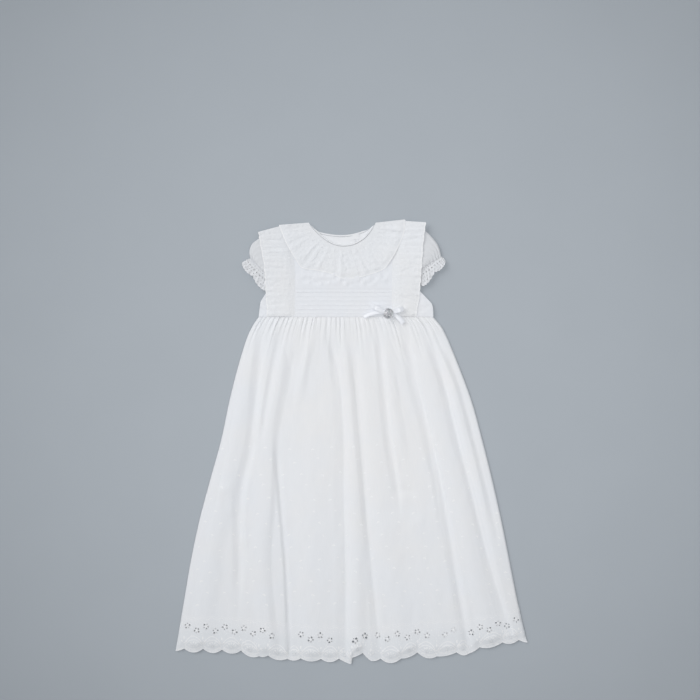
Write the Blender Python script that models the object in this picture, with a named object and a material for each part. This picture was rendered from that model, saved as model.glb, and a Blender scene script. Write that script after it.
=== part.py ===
# Christening gown for a baby, laid flat on its back with the hem towards -Y.
# A long gathered skirt with a scalloped eyelet border, a short bodice with six pintucks,
# a round pleated collar frill, pleated shoulder flounces, puffed sleeves with lace frills
# and a satin bow with a round button at the waist.
# Every size below is in millimetres; Z = 0 is the surface that the gown lies on.

import math
from collections import namedtuple

import bmesh
import bpy
import numpy as np

MM = 0.001

# Driving dimensions
CLOTH = 1.2
SKIRT_CLOTH = 1.6
SEAM_GAP = 0.3
MOST_CLOTH = 3.0
MOST_HOLLOW = 3.8
WAIST_Y = 175.0
WAIST_OVERLAP = 4.0
BORDER_DEPTH = 46.0
BACK_HEM_INSET = 2.5
BACK_SIDE_POINTS = 14
BACK_SEAM_POINTS = 15
BACK_OPENING_X = 5.0
PLACKET_WIDTH = 13.0
PLACKET_OVER = 3.0
POINT_CLEAR = 1.0
SKIRT_CROWN = 2.1
SKIRT_EDGE_ROUND = 24.0
HIGHEST_FOLD = 8.1
GATHERS = 38
GATHER_HEIGHT = 0.9
GATHER_LENGTH = 46.0
GATHER_LENGTH_SWINGS = (26.0, 16.0)

# Heights of the layers, from the surface up
LAYER = CLOTH + SEAM_GAP
OUTER_BACK_Z = 0.0
BACK_BODICE_Z = LAYER
SKIRT_FRONT_Z = LAYER
FRONT_BODICE_Z = 2 * LAYER
FRILL_Z = 3 * LAYER

# Side outline of the skirt from the hem corners up to the waist
OutlineRow = namedtuple("OutlineRow", "y left right")
SKIRT_SIDES = [
    OutlineRow(-293.4, -247.2, 248.4),
    OutlineRow(-221.3, -235.1, 231.8),
    OutlineRow(-165.3, -225.5, 220.6),
    OutlineRow(-109.3, -213.6, 209.4),
    OutlineRow(-53.3, -198.7, 196.8),
    OutlineRow(2.7, -183.3, 182.8),
    OutlineRow(58.7, -171.4, 167.4),
    OutlineRow(100.7, -160.9, 152.0),
    OutlineRow(128.7, -152.7, 140.8),
    OutlineRow(149.7, -145.5, 131.7),
    OutlineRow(163.7, -138.5, 124.0),
    OutlineRow(174.9, -130.8, 114.2),
]

# Hem from the left corner to the right one: a notch and how far the scallop after it sags
HemRow = namedtuple("HemRow", "x y sag")
HEM = [
    HemRow(-247.2, -293.4, 0.7),
    HemRow(-234.9, -289.6, 5.6),
    HemRow(-208.5, -289.6, 5.6),
    HemRow(-182.0, -291.0, 5.2),
    HemRow(-155.3, -292.2, 4.9),
    HemRow(-130.1, -300.2, 1.8),
    HemRow(-117.5, -299.2, 4.2),
    HemRow(-90.4, -303.8, 3.1),
    HemRow(-71.8, -303.2, 4.2),
    HemRow(-43.3, -303.9, 4.9),
    HemRow(-18.4, -303.6, 0.8),
    HemRow(-1.5, -311.6, 0.0),
    HemRow(0.0, -302.5, 0.8),
    HemRow(15.5, -295.5, 1.1),
    HemRow(26.5, -306.7, 1.7),
    HemRow(40.2, -303.6, 6.4),
    HemRow(68.7, -303.6, 2.5),
    HemRow(91.8, -294.8, 5.3),
    HemRow(118.6, -300.6, 2.0),
    HemRow(147.0, -294.8, 3.6),
    HemRow(164.6, -296.4, 1.1),
    HemRow(178.5, -287.8, 3.9),
    HemRow(210.8, -280.8, 3.9),
    HemRow(233.6, -277.3, 0.8),
    HemRow(246.4, -281.5, 0.0),
]

# The line that the notches follow, for the seam above the border
HEM_LINE_X = [-247.0, -160.0, -60.0, 40.0, 100.0, 160.0, 247.0]
HEM_LINE_Y = [-289.0, -292.5, -302.5, -303.0, -297.5, -294.0, -278.0]

# Folds of the skirt front: where each runs, given at six heights above or below the middle
FOLD_STATIONS_Y = [-260.0, -170.0, -80.0, 10.0, 90.0, 165.0]
Fold = namedtuple("Fold", "name path left right height top foot")
FOLDS = [
    Fold("left swell", (-208, -197, -180, -162, -148, -137), 22, 20, 1.7, 150, -330),
    Fold("left valley", (-160, -158, -157, -139, -133, -125), 11, 11, -2.2, 190, -230),
    Fold("left gathered ridge", (-175, -160, -150, -134, -121, -110), 9, 9, 1.3, 190, -20),
    Fold("left gathered valley", (-172, -158, -140, -126, -112, -96), 8, 8, -1.6, 190, -10),
    Fold("left broad ridge", (-116, -125, -118, -114, -98, -88), 26, 13, 2.6, 150, -330),
    Fold("left sharp step", (-88, -92, -100, -106, -92, -84), 6, 34, -1.9, 130, -330),
    Fold("left short ridge", (-96, -92, -86, -78, -70, -52), 10, 10, 1.3, 190, 40),
    Fold("left middle swell", (-52, -52, -52, -50, -46, -44), 30, 26, 1.1, 60, -330),
    Fold("short valley", (-20, -20, -20, -12, -22, -33), 8, 7, -1.3, 190, 60),
    Fold("middle valley", (-9, -8, -12, -10, -16, -28), 16, 7, -2.7, 165, -330),
    Fold("middle ridge", (8, 7, 5, 3, -5, -12), 13, 15, 2.7, 150, -330),
    Fold("middle right valley", (33, 26, 18, 9, 3, -5), 7, 15, -1.9, 170, -330),
    Fold("right soft swell", (66, 54, 42, 30, 24, 16), 18, 24, 1.3, 130, -330),
    Fold("right short valley", (90, 78, 66, 51, 44, 36), 10, 8, -2.0, 190, -90),
    Fold("right short ridge", (100, 92, 82, 66, 53, 44), 9, 11, 1.5, 140, -35),
    Fold("right sharp valley", (160, 144, 128, 108, 88, 75), 14, 8, -2.7, 190, -330),
    Fold("right ridge", (190, 169, 150, 126, 108, 88), 20, 18, 1.9, 150, -330),
    Fold("right outer valley", (217, 193, 172, 147, 128, 101), 12, 10, -2.2, 190, -290),
    Fold("right outer ridge", (226, 206, 184, 160, 138, 112), 11, 10, 1.4, 150, -110),
    Fold("right edge valley", (236, 214, 192, 170, 147, 110), 8, 8, -1.6, 190, -160),
]
FOLD_FADE = 45.0
FOLD_AT_WAIST = 0.35
FOLD_GROWTH = 60.0

# Heights down the skirt front where its rows of points lie, as parts of the way to the border
SKIRT_ROWS = [0, 0.02, 0.045, 0.08, 0.12, 0.17, 0.23, 0.30, 0.37, 0.44, 0.51, 0.58, 0.65]
SKIRT_ROWS += [0.72, 0.79, 0.86, 0.93, 1.0]
BORDER_ROWS = [0, 0.35, 0.7, 1.0]
POINTS_PER_SCALLOP = 4

# Neckline and the collar frill's outer edge, from the left shoulder to the right one
FRONT_NECK = [(-60.6, 307.0), (-55.9, 300.0), (-47.5, 291.0), (-37.7, 282.7), (-26.5, 276.4)]
FRONT_NECK += [(-12.5, 273.6), (0.1, 275.0), (11.3, 279.9), (21.1, 287.6), (28.1, 296.7)]
FRONT_NECK += [(33.3, 307.0)]
BACK_NECK = [(-56.0, 302.5), (-44.0, 291.5), (-31.4, 288.5), (0.0, 288.5), (19.7, 295.0)]
BACK_NECK += [(29.5, 303.0)]
COLLAR_EDGE = [(-102.1, 303.7), (-96.5, 288.3), (-89.5, 272.9), (-81.1, 258.9), (-69.9, 243.5)]
COLLAR_EDGE += [(-52.0, 240.5), (-30.7, 235.8), (-12.0, 228.5), (7.1, 229.5), (26.0, 234.5)]
COLLAR_EDGE += [(44.9, 242.1), (56.5, 257.0), (66.0, 275.0), (73.5, 295.0), (73.9, 311.4)]
COLLAR_PLEATS = 15
COLLAR_WAVE = 1.1
COLLAR_ROWS = 5
COLLAR_LIFT = 2.0
COLLAR_LIFT_FROM, COLLAR_LIFT_TO = 0.45, 0.85
FRILL_SPARE = 0.4
BINDING_WIDTH = 2.4
BINDING_HEIGHT = 3.2
BINDING_SECTION = [(0.0, 0.0), (1.0, 0.0), (1.0, 0.6), (0.75, 0.92), (0.25, 0.92), (0.0, 0.6)]
FRONT_NECK_POINTS = 21
BACK_NECK_POINTS = 15

# The frill's back halves, from the shoulder round to the back opening
COLLAR_BACK_LEFT = [(-60.0, 304.3), (-99.0, 301.8), (-92.0, 286.0), (-82.0, 268.0)]
COLLAR_BACK_LEFT += [(-66.0, 252.0), (-40.0, 243.0), (-7.0, 239.0)]
COLLAR_BACK_RIGHT = [(33.0, 304.3), (71.0, 307.0), (66.0, 288.0), (56.0, 268.0)]
COLLAR_BACK_RIGHT += [(42.0, 252.0), (24.0, 243.0), (9.0, 239.0)]
COLLAR_BACK_TOP_LEFT, COLLAR_BACK_TOP_RIGHT = 288.5, 289.0
COLLAR_BACK_CLEAR = 2.0

# Bodice
SHOULDER_LEFT = (-100.5, 303.2)
SHOULDER_RIGHT = (75.3, 310.8)
YOKE_FOOT_Y = 214.5
LEFT_SIDE = [(-111.5, 213.5), (-120.3, 208.8), (-128.0, 196.3), (-129.6, 184.7), (-130.8, 175.2)]
RIGHT_SIDE = [(86.5, 216.5), (94.8, 211.6), (111.7, 194.0), (113.5, 188.0), (114.2, 175.2)]
PINTUCK_Y = [210.7, 204.7, 198.4, 192.2, 186.3, 180.5]
PINTUCK_HEIGHT = 1.6
PINTUCK_HALF = 1.3
PINTUCK_CREST_HALF = 0.4
TUCKS_FROM_X = -78.0
TUCKS_TO_X = 54.0
TUCK_FADE = 1.6

# Shoulder flounces: inner seam and outer edge at six places from the shoulder to the waist
FlounceRow = namedtuple("FlounceRow", "inner_x inner_y outer_x outer_y lift")
FLOUNCE_LEFT = [
    FlounceRow(-99.5, 302.5, -130.6, 293.9, 2.6),
    FlounceRow(-86.5, 272.0, -127.6, 273.0, 2.9),
    FlounceRow(-80.0, 248.0, -123.2, 249.0, 3.0),
    FlounceRow(-80.0, 224.0, -121.6, 224.0, 2.4),
    FlounceRow(-80.0, 200.0, -119.9, 200.0, 0.6),
    FlounceRow(-80.0, 176.0, -118.9, 175.5, 0.5),
]
FLOUNCE_RIGHT = [
    FlounceRow(71.3, 309.5, 103.3, 307.4, 2.6),
    FlounceRow(62.5, 274.0, 99.5, 276.0, 2.9),
    FlounceRow(56.5, 252.0, 97.8, 252.0, 3.0),
    FlounceRow(56.0, 226.0, 96.2, 226.0, 2.4),
    FlounceRow(56.0, 200.0, 93.8, 200.0, 0.6),
    FlounceRow(56.0, 176.0, 89.7, 175.5, 0.5),
]
FLOUNCE_PLEATS = 15
FLOUNCE_WAVE = 0.8
FLOUNCE_ROWS = 5
POINTS_PER_PLEAT = 3
PLEAT_HEIGHTS = [0.0, 1.0, 0.55]
PLEAT_OPENING = 0.7

# The flounces' back halves, from the shoulder down to the waist and up the inner seam
FLOUNCE_BACK_LEFT = [(-103.5, 299.0), (-118.0, 290.0), (-114.0, 250.0), (-109.0, 226.0)]
FLOUNCE_BACK_LEFT += [(-106.0, 212.0), (-106.0, 177.0), (-80.0, 177.0), (-80.0, 258.0)]
FLOUNCE_BACK_LEFT += [(-86.0, 270.0), (-96.0, 286.0)]
FLOUNCE_BACK_RIGHT = [(78.0, 303.0), (92.0, 297.0), (89.0, 254.0), (85.0, 230.0)]
FLOUNCE_BACK_RIGHT += [(82.0, 215.0), (82.0, 177.0), (56.0, 177.0), (56.0, 260.0)]
FLOUNCE_BACK_RIGHT += [(60.5, 270.0), (70.5, 290.0)]

# Sleeves, from the armhole to the mouth: each ring's top, middle and underarm point,
# the height of its underside and its own height
SleeveRow = namedtuple("SleeveRow", "top_x top_y mid_x mid_y low_x low_y z high")
SLEEVE_LEFT = [
    SleeveRow(-101.0, 297.0, -90.0, 256.0, -106.5, 223.0, 1.5, 3.2),
    SleeveRow(-115.0, 293.5, -104.0, 252.0, -109.5, 221.0, 1.5, 4.2),
    SleeveRow(-129.0, 285.5, -119.0, 248.0, -112.5, 219.0, 1.5, 5.2),
    SleeveRow(-140.0, 277.0, -129.0, 245.0, -115.5, 217.2, 0.9, 6.6),
    SleeveRow(-142.9, 266.0, -134.0, 241.0, -118.5, 215.3, 0.4, 6.8),
    SleeveRow(-141.6, 255.5, -132.5, 235.0, -121.5, 213.5, 0.3, 5.4),
]
SLEEVE_RIGHT = [
    SleeveRow(76.0, 303.0, 64.0, 262.0, 82.0, 227.0, 1.5, 3.2),
    SleeveRow(90.0, 300.0, 79.0, 258.0, 85.0, 224.5, 1.5, 4.2),
    SleeveRow(102.5, 295.5, 93.0, 254.0, 88.0, 222.0, 1.5, 5.2),
    SleeveRow(113.0, 285.5, 103.0, 251.0, 90.8, 219.7, 0.9, 6.6),
    SleeveRow(120.5, 274.0, 110.5, 247.0, 93.5, 217.4, 0.4, 6.8),
    SleeveRow(124.0, 259.5, 112.5, 239.0, 96.5, 215.3, 0.3, 5.4),
]
CUFF_LEFT = [
    SleeveRow(-142.1, 255.0, -133.0, 234.5, -121.9, 213.0, 0.3, 5.2),
    SleeveRow(-147.5, 253.0, -138.5, 231.5, -123.5, 211.5, 0.2, 6.2),
    SleeveRow(-153.6, 250.6, -144.0, 226.5, -124.5, 209.8, 0.0, 7.0),
]
CUFF_RIGHT = [
    SleeveRow(124.4, 259.0, 113.0, 238.5, 97.0, 214.8, 0.3, 5.2),
    SleeveRow(127.5, 256.0, 118.5, 235.0, 98.0, 213.2, 0.2, 6.2),
    SleeveRow(130.3, 251.0, 123.0, 229.5, 98.5, 211.2, 0.0, 7.0),
]
SLEEVE_POINTS = 24
ARMHOLE_POINTS = 7
RING_FULLNESS = 0.7
LEAST_INSIDE = 0.2
CUFF_WAVES = 7
CUFF_WAVE = 1.0

# Bow: the middle of the ribbon, point by point, with its underside's height
RibbonPoint = namedtuple("RibbonPoint", "x y z width")
BOW_X, BOW_Y = 50.8, 179.8
RIBBON = 1.0
LOOP_ENDS_APART = 3.0
STEEP_BELOW = 0.5
BOW_TAILS = [
    RibbonPoint(15.5, 175.2, 7.0, 6.0),
    RibbonPoint(26.0, 179.5, 6.9, 6.4),
    RibbonPoint(38.0, 181.8, 6.6, 6.2),
    RibbonPoint(47.0, 180.6, 6.3, 4.6),
    RibbonPoint(54.0, 179.2, 6.9, 4.6),
    RibbonPoint(61.0, 176.8, 7.7, 5.8),
    RibbonPoint(67.5, 171.5, 7.5, 6.4),
    RibbonPoint(72.0, 165.5, 7.0, 6.4),
]
BOW_LOOP_LEFT = [
    RibbonPoint(50.3, 180.2, 7.9, 4.2),
    RibbonPoint(40.0, 184.2, 8.4, 6.4),
    RibbonPoint(30.5, 189.2, 8.9, 7.0),
    RibbonPoint(27.6, 190.6, 10.0, 7.0),
    RibbonPoint(30.5, 189.2, 11.2, 7.0),
    RibbonPoint(40.0, 184.2, 10.9, 6.4),
    RibbonPoint(50.3, 180.2, 9.3, 4.2),
]
BOW_LOOP_RIGHT = [
    RibbonPoint(51.6, 180.2, 8.2, 4.2),
    RibbonPoint(60.0, 182.6, 8.9, 6.2),
    RibbonPoint(68.5, 185.3, 9.4, 6.8),
    RibbonPoint(71.8, 186.2, 10.5, 6.8),
    RibbonPoint(68.5, 185.3, 11.6, 6.8),
    RibbonPoint(60.0, 182.6, 11.0, 6.2),
    RibbonPoint(51.6, 180.2, 9.5, 4.2),
]
BUTTON_RADIUS = 7.0
BUTTON_SIDES = 14
BUTTON_Z = 11.7
ButtonRing = namedtuple("ButtonRing", "radius height")
BUTTON_RINGS = [
    ButtonRing(0.72, 0.0),
    ButtonRing(1.0, 0.8),
    ButtonRing(1.0, 1.8),
    ButtonRing(0.78, 3.2),
    ButtonRing(0.42, 4.0),
]

# Small buttons of the back opening, pressed level with the placket in their buttonholes
BACK_BUTTON_Y = [276.0, 236.0, 196.0]
BACK_BUTTON_RADIUS = 4.2
BACK_BUTTON_SIDES = 20

# Colours as the eye sees them, 0 to 255, and roughness
Finish = namedtuple("Finish", "red green blue roughness")
BATISTE = Finish(228, 230, 233, 0.85)
EYELET = Finish(232, 233, 236, 0.85)
LACE = Finish(235, 236, 238, 0.9)
SATIN = Finish(240, 241, 245, 0.35)
SILVER_GREY = Finish(190, 192, 198, 0.25)
PEARL_WHITE = Finish(236, 236, 232, 0.3)


# Helpers

def to_linear(value):
    value /= 255.0
    return value / 12.92 if value <= 0.04045 else ((value + 0.055) / 1.055) ** 2.4


def make_material(name, finish, metallic=0.0):
    material = bpy.data.materials.new(name)
    material.use_nodes = True
    shader = material.node_tree.nodes["Principled BSDF"]
    colour = [to_linear(v) for v in finish[:3]]
    shader.inputs["Base Color"].default_value = (*colour, 1.0)
    shader.inputs["Roughness"].default_value = finish.roughness
    shader.inputs["Metallic"].default_value = metallic
    return material


def add_piece(name, points_mm, faces, finish, smooth=True, metallic=0.0):
    """A closed solid from points in millimetres, with its faces turned outwards."""
    mesh = bpy.data.meshes.new(name)
    mesh.from_pydata([tuple(float(c) * MM for c in p) for p in points_mm], [], faces)
    shape = bmesh.new()
    shape.from_mesh(mesh)
    bmesh.ops.recalc_face_normals(shape, faces=shape.faces)
    shape.to_mesh(mesh)
    shape.free()
    if smooth:
        mesh.shade_smooth()
        mesh.set_sharp_from_angle(angle=math.radians(50))
    piece = bpy.data.objects.new(name, mesh)
    bpy.context.collection.objects.link(piece)
    mesh.materials.append(make_material(name, finish, metallic))
    return piece


def smooth_line(knots, values, at):
    """Reads a smooth curve through a few values; knots rise, and it runs straight past its ends."""
    knots = np.asarray(knots, float)
    values = np.asarray(values, float)
    at = np.asarray(at, float)
    slopes = np.gradient(values, knots)
    i = np.clip(np.searchsorted(knots, at, side="right") - 1, 0, len(knots) - 2)
    span = knots[i + 1] - knots[i]
    t = np.clip((at - knots[i]) / span, 0.0, 1.0)
    inside = (
        (1 + 2 * t) * (1 - t) ** 2 * values[i]
        + t * (1 - t) ** 2 * span * slopes[i]
        + t * t * (3 - 2 * t) * values[i + 1]
        + t * t * (t - 1) * span * slopes[i + 1]
    )
    below = np.minimum(at - knots[0], 0.0) * slopes[0]
    above = np.maximum(at - knots[-1], 0.0) * slopes[-1]
    return inside + below + above


def spread_points(points, count):
    """Evenly spaced points along a smooth curve through the given ones."""
    points = np.asarray(points, float)
    steps = np.linalg.norm(np.diff(points, axis=0), axis=1)
    reach = np.concatenate([[0.0], np.cumsum(steps)])
    at = np.linspace(0.0, reach[-1], count)
    return np.stack([smooth_line(reach, points[:, k], at) for k in range(points.shape[1])], axis=1)


def soft_step(value, low, high):
    t = np.clip((value - low) / (high - low), 0.0, 1.0)
    return t * t * (3 - 2 * t)


def under_side(top, lowest, cloth):
    """Underside of a panel: a wall below its top, thicker under high folds that press together."""
    under = np.maximum(top - cloth, lowest)
    hollow = under - lowest
    pressed = lowest + np.minimum(hollow, MOST_HOLLOW)
    return np.maximum(pressed, top - MOST_CLOTH)


def add_wall(name, x, y, top, under, finish):
    """A cloth wall from a grid of points: rows by columns, with one height above and one below."""
    rows, columns = x.shape
    upper = np.stack([x, y, top], axis=2).reshape(-1, 3)
    lower = np.stack([x, y, under], axis=2).reshape(-1, 3)
    count = rows * columns
    faces = []
    for r in range(rows - 1):
        for c in range(columns - 1):
            a = r * columns + c
            b = a + 1
            d = a + columns
            e = d + 1
            faces += [(a, d, e), (a, e, b)]
            faces += [(count + a, count + e, count + d), (count + a, count + b, count + e)]
    rim = list(range(columns))
    rim += [r * columns + columns - 1 for r in range(1, rows)]
    rim += [(rows - 1) * columns + c for c in range(columns - 2, -1, -1)]
    rim += [r * columns for r in range(rows - 2, 0, -1)]
    for a, b in zip(rim, rim[1:] + rim[:1]):
        faces += [(a, b, count + b), (a, count + b, count + a)]
    return add_piece(name, np.concatenate([upper, lower]), faces, finish)


def add_flat_panel(name, outline, bottom, finish, cloth=CLOTH):
    """A flat cut piece of cloth: an outline given a thickness."""
    count = len(outline)
    points = [(x, y, bottom) for x, y in outline]
    points += [(x, y, bottom + cloth) for x, y in outline]
    faces = [list(range(count - 1, -1, -1)), list(range(count, 2 * count))]
    for i in range(count):
        j = (i + 1) % count
        faces.append((i, j, count + j, count + i))
    return add_piece(name, points, faces, finish, smooth=False)


def add_disc(name, x, y, bottom, height, radius):
    """A round flat disc, for the small buttons and the holes that they lie in."""
    turns = [2 * math.pi * k / BACK_BUTTON_SIDES for k in range(BACK_BUTTON_SIDES)]
    outline = [(x + radius * math.cos(t), y + radius * math.sin(t)) for t in turns]
    return add_flat_panel(name, outline, bottom, PEARL_WHITE, height)


# Skirt and hem border

def side_x(part, y):
    """X at a part of the way from the left outline of the skirt to the right one."""
    y_knots = [row.y for row in SKIRT_SIDES]
    left = smooth_line(y_knots, [row.left for row in SKIRT_SIDES], y)
    right = smooth_line(y_knots, [row.right for row in SKIRT_SIDES], y)
    return left + part * (right - left)


def hem_x(part):
    return HEM[0].x + part * (HEM[-1].x - HEM[0].x)


def seam_y(part):
    """The seam above the border, which follows the line of the notches."""
    return smooth_line(HEM_LINE_X, HEM_LINE_Y, hem_x(part)) + BORDER_DEPTH


def scallop_y(part):
    """The scalloped edge: arcs that sag between the notches."""
    x = hem_x(part)
    knots = np.array([row.x for row in HEM])
    i = np.clip(np.searchsorted(knots, x, side="right") - 1, 0, len(HEM) - 2)
    t = (x - knots[i]) / (knots[i + 1] - knots[i])
    sag = np.array([row.sag for row in HEM])[i]
    return np.interp(x, knots, [row.y for row in HEM]) - sag * 4 * t * (1 - t)


def fold_height(x, y):
    """How far the folds lift or lower the skirt front at a point."""
    height = np.zeros_like(x)
    for fold in FOLDS:
        middle = smooth_line(FOLD_STATIONS_Y, fold.path, y)
        away = x - middle
        reach = np.where(away < 0, fold.left, fold.right)
        across = np.clip(np.abs(away) / reach, 0.0, 1.0)
        shown = soft_step(fold.top - y, 0.0, FOLD_FADE) * soft_step(y - fold.foot, 0.0, FOLD_FADE)
        height += fold.height * (1 - across ** 2) ** 2 * shown
    return height


def skirt_top(part, y):
    """Upper surface of the skirt front without its gathers."""
    x = side_x(part, y)
    from_side = np.minimum(x - side_x(0.0, y), side_x(1.0, y) - x)
    edge = SKIRT_FRONT_Z + SKIRT_CLOTH
    round_off = 1 - (1 - np.clip(from_side / SKIRT_EDGE_ROUND, 0.0, 1.0)) ** 2
    grown = FOLD_AT_WAIST + (1 - FOLD_AT_WAIST) * soft_step(WAIST_Y - y, 0.0, FOLD_GROWTH)
    top = edge + round_off * (SKIRT_CROWN + fold_height(x, y) * grown)
    return x, np.clip(top, edge, HIGHEST_FOLD)


def gather_places():
    """Two columns of points for each gather, a little uneven like hand gathering."""
    k = np.arange(2 * GATHERS + 1)
    uneven = 0.22 * np.sin(1.7 * k) + 0.18 * np.sin(0.61 * k + 1.0)
    uneven[[0, -1]] = 0.0
    return (k + uneven) / (2 * GATHERS)


def gather_height(columns, y):
    """Ridges and hollows of the gathers by turns, each dying out at its own depth."""
    k = np.arange(columns)
    slow, quick = GATHER_LENGTH_SWINGS
    length = GATHER_LENGTH + slow * np.sin(0.9 * k + 0.5) + quick * np.sin(2.3 * k)
    fade = np.clip(1 - (WAIST_Y - y) / length, 0.0, 1.0) ** 1.4
    side = np.where(k % 2 == 0, -1.0, 1.0)
    side[[0, -1]] = 0.0
    return GATHER_HEIGHT * side * fade


def make_skirt_front():
    part, way = np.meshgrid(gather_places(), np.array(SKIRT_ROWS))
    waist = WAIST_Y - SEAM_GAP / 2
    y = waist + way * (seam_y(part) + SEAM_GAP / 2 - waist)
    x, top = skirt_top(part, y)
    top = top + gather_height(part.shape[1], y)
    over_bodice = soft_step(y, WAIST_Y - 3 * WAIST_OVERLAP, WAIST_Y - WAIST_OVERLAP - 1.0)
    lowest = SKIRT_FRONT_Z + LAYER * over_bodice
    top = np.maximum(top, lowest + SKIRT_CLOTH)
    add_wall("skirt_front", x, y, top, under_side(top, lowest, SKIRT_CLOTH), BATISTE)


def scallop_places():
    """Columns of the border: the notches, with points on each arc between them."""
    places = []
    for row, after in zip(HEM, HEM[1:]):
        points = POINTS_PER_SCALLOP if after.x - row.x > 5 else 1
        places += [row.x + (after.x - row.x) * k / points for k in range(points)]
    places.append(HEM[-1].x)
    return (np.array(places) - HEM[0].x) / (HEM[-1].x - HEM[0].x)


def make_border_front():
    part, way = np.meshgrid(scallop_places(), np.array(BORDER_ROWS))
    seam = seam_y(part) - SEAM_GAP / 2
    y = seam + way * (scallop_y(part) - seam)
    x, top = skirt_top(part, y)
    lowest = np.full_like(top, SKIRT_FRONT_Z)
    add_wall("hem_border_front", x, y, top, under_side(top, lowest, SKIRT_CLOTH), EYELET)


def make_skirt_back():
    """The back lies flat on the surface, under the front's outline."""
    waist = WAIST_Y - SEAM_GAP / 2
    y_down = np.linspace(waist, seam_y(0.0) + SEAM_GAP / 2, BACK_SIDE_POINTS)
    across = np.linspace(0.0, 1.0, BACK_SEAM_POINTS)
    y_up = np.linspace(seam_y(1.0) + SEAM_GAP / 2, waist, BACK_SIDE_POINTS)
    outline = [(side_x(0.0, y), y) for y in y_down]
    foot = seam_y(across[1:-1]) + SEAM_GAP / 2
    outline += list(zip(side_x(across[1:-1], foot), foot))
    outline += [(side_x(1.0, y), y) for y in y_up]
    add_flat_panel("skirt_back", outline, OUTER_BACK_Z, BATISTE)


def make_border_back():
    across = np.linspace(0.0, 1.0, BACK_SEAM_POINTS)
    seam = seam_y(across) - SEAM_GAP / 2
    outline = list(zip(side_x(across, seam), seam))
    edge = scallop_places()[::-1]
    foot = scallop_y(edge) + BACK_HEM_INSET
    outline += list(zip(side_x(edge, foot), foot))
    add_flat_panel("hem_border_back", outline, OUTER_BACK_Z, EYELET)


# Bodice

def bend(row, parts):
    """Points of a sleeve ring's line: a curve by its top, middle and underarm points."""
    t = np.asarray(parts, float)
    x = (1 - t) ** 2 * row.top_x + 2 * t * (1 - t) * row.mid_x + t * t * row.low_x
    y = (1 - t) ** 2 * row.top_y + 2 * t * (1 - t) * row.mid_y + t * t * row.low_y
    return x, y


def armhole(row, away):
    """The bodice's armhole, from the shoulder to the underarm, clear of the sleeve by its seam."""
    x, y = bend(row, np.linspace(0.0, 1.0, ARMHOLE_POINTS))
    return list(zip(x + away, y))


def left_edge():
    return [SHOULDER_LEFT] + armhole(SLEEVE_LEFT[0], 2 * SEAM_GAP) + LEFT_SIDE


def right_edge():
    return [SHOULDER_RIGHT] + armhole(SLEEVE_RIGHT[0], -2 * SEAM_GAP) + RIGHT_SIDE


def above(points, y):
    return [p for p in points if p[1] > y]


def edge_x(points, y):
    ys = np.array([p[1] for p in points])[::-1]
    xs = np.array([p[0] for p in points])[::-1]
    return float(np.interp(y, ys, xs))


def make_yoke():
    neck = spread_points(FRONT_NECK, FRONT_NECK_POINTS)
    left = above(left_edge(), YOKE_FOOT_Y)
    right = above(right_edge(), YOKE_FOOT_Y)
    outline = [tuple(p) for p in neck[::-1]] + left
    outline.append((edge_x(left_edge(), YOKE_FOOT_Y), YOKE_FOOT_Y))
    outline.append((edge_x(right_edge(), YOKE_FOOT_Y), YOKE_FOOT_Y))
    outline += right[::-1]
    add_flat_panel("yoke_front", outline, FRONT_BODICE_Z, BATISTE)


def make_tucked_panel():
    """The panel between yoke and waist: six narrow tucks stand up from it between the flounces."""
    foot = WAIST_Y + SEAM_GAP / 2
    head = YOKE_FOOT_Y - SEAM_GAP
    levels = [foot, head]
    for y in PINTUCK_Y:
        levels += [y - PINTUCK_HALF, y - PINTUCK_CREST_HALF, y + PINTUCK_CREST_HALF, y + PINTUCK_HALF]
    levels = np.array(sorted(levels))[::-1]
    left = np.array([edge_x(left_edge(), y) for y in levels])
    right = np.array([edge_x(right_edge(), y) for y in levels])
    tucked = list(np.linspace(TUCKS_FROM_X, TUCKS_TO_X, 4))
    inner = [TUCKS_FROM_X - TUCK_FADE] + tucked + [TUCKS_TO_X + TUCK_FADE]
    x = np.stack([left] + [np.full_like(left, v) for v in inner] + [right], axis=1)
    y = np.repeat(levels[:, None], x.shape[1], axis=1)
    near = np.min([np.abs(levels - tuck) for tuck in PINTUCK_Y], axis=0)
    slope = PINTUCK_HALF - PINTUCK_CREST_HALF
    raised = np.clip((PINTUCK_HALF - near) / slope, 0.0, 1.0) * PINTUCK_HEIGHT
    shown = np.array([0, 0] + [1] * len(tucked) + [0, 0], float)
    top = FRONT_BODICE_Z + CLOTH + raised[:, None] * shown[None, :]
    under = np.full_like(top, FRONT_BODICE_Z)
    add_wall("tucked_panel", x, y, top, under, BATISTE)


def make_back_bodice():
    """Two halves that meet at the opening."""
    foot = WAIST_Y - WAIST_OVERLAP
    neck = spread_points(BACK_NECK, BACK_NECK_POINTS)
    middle = BACK_OPENING_X
    neck_y = float(np.interp(middle, neck[:, 0], neck[:, 1]))
    left_neck = [tuple(p) for p in neck if p[0] < middle - POINT_CLEAR]
    right_neck = [tuple(p) for p in neck if p[0] > middle + POINT_CLEAR]
    left = above(left_edge(), WAIST_Y + POINT_CLEAR)
    right = above(right_edge(), WAIST_Y + POINT_CLEAR)
    waist_left = [(left_edge()[-1][0] + POINT_CLEAR, y) for y in (WAIST_Y, foot)]
    waist_right = [(right_edge()[-1][0] - POINT_CLEAR, y) for y in (WAIST_Y, foot)]
    outline = [(middle, neck_y)] + left_neck[::-1] + left + waist_left + [(middle, foot)]
    add_flat_panel("bodice_back_left", outline, BACK_BODICE_Z, BATISTE)
    outline = [(middle + SEAM_GAP, foot)] + waist_right[::-1] + right[::-1] + right_neck[::-1]
    outline.append((middle + SEAM_GAP, neck_y))
    add_flat_panel("bodice_back_right", outline, BACK_BODICE_Z, BATISTE)


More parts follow.
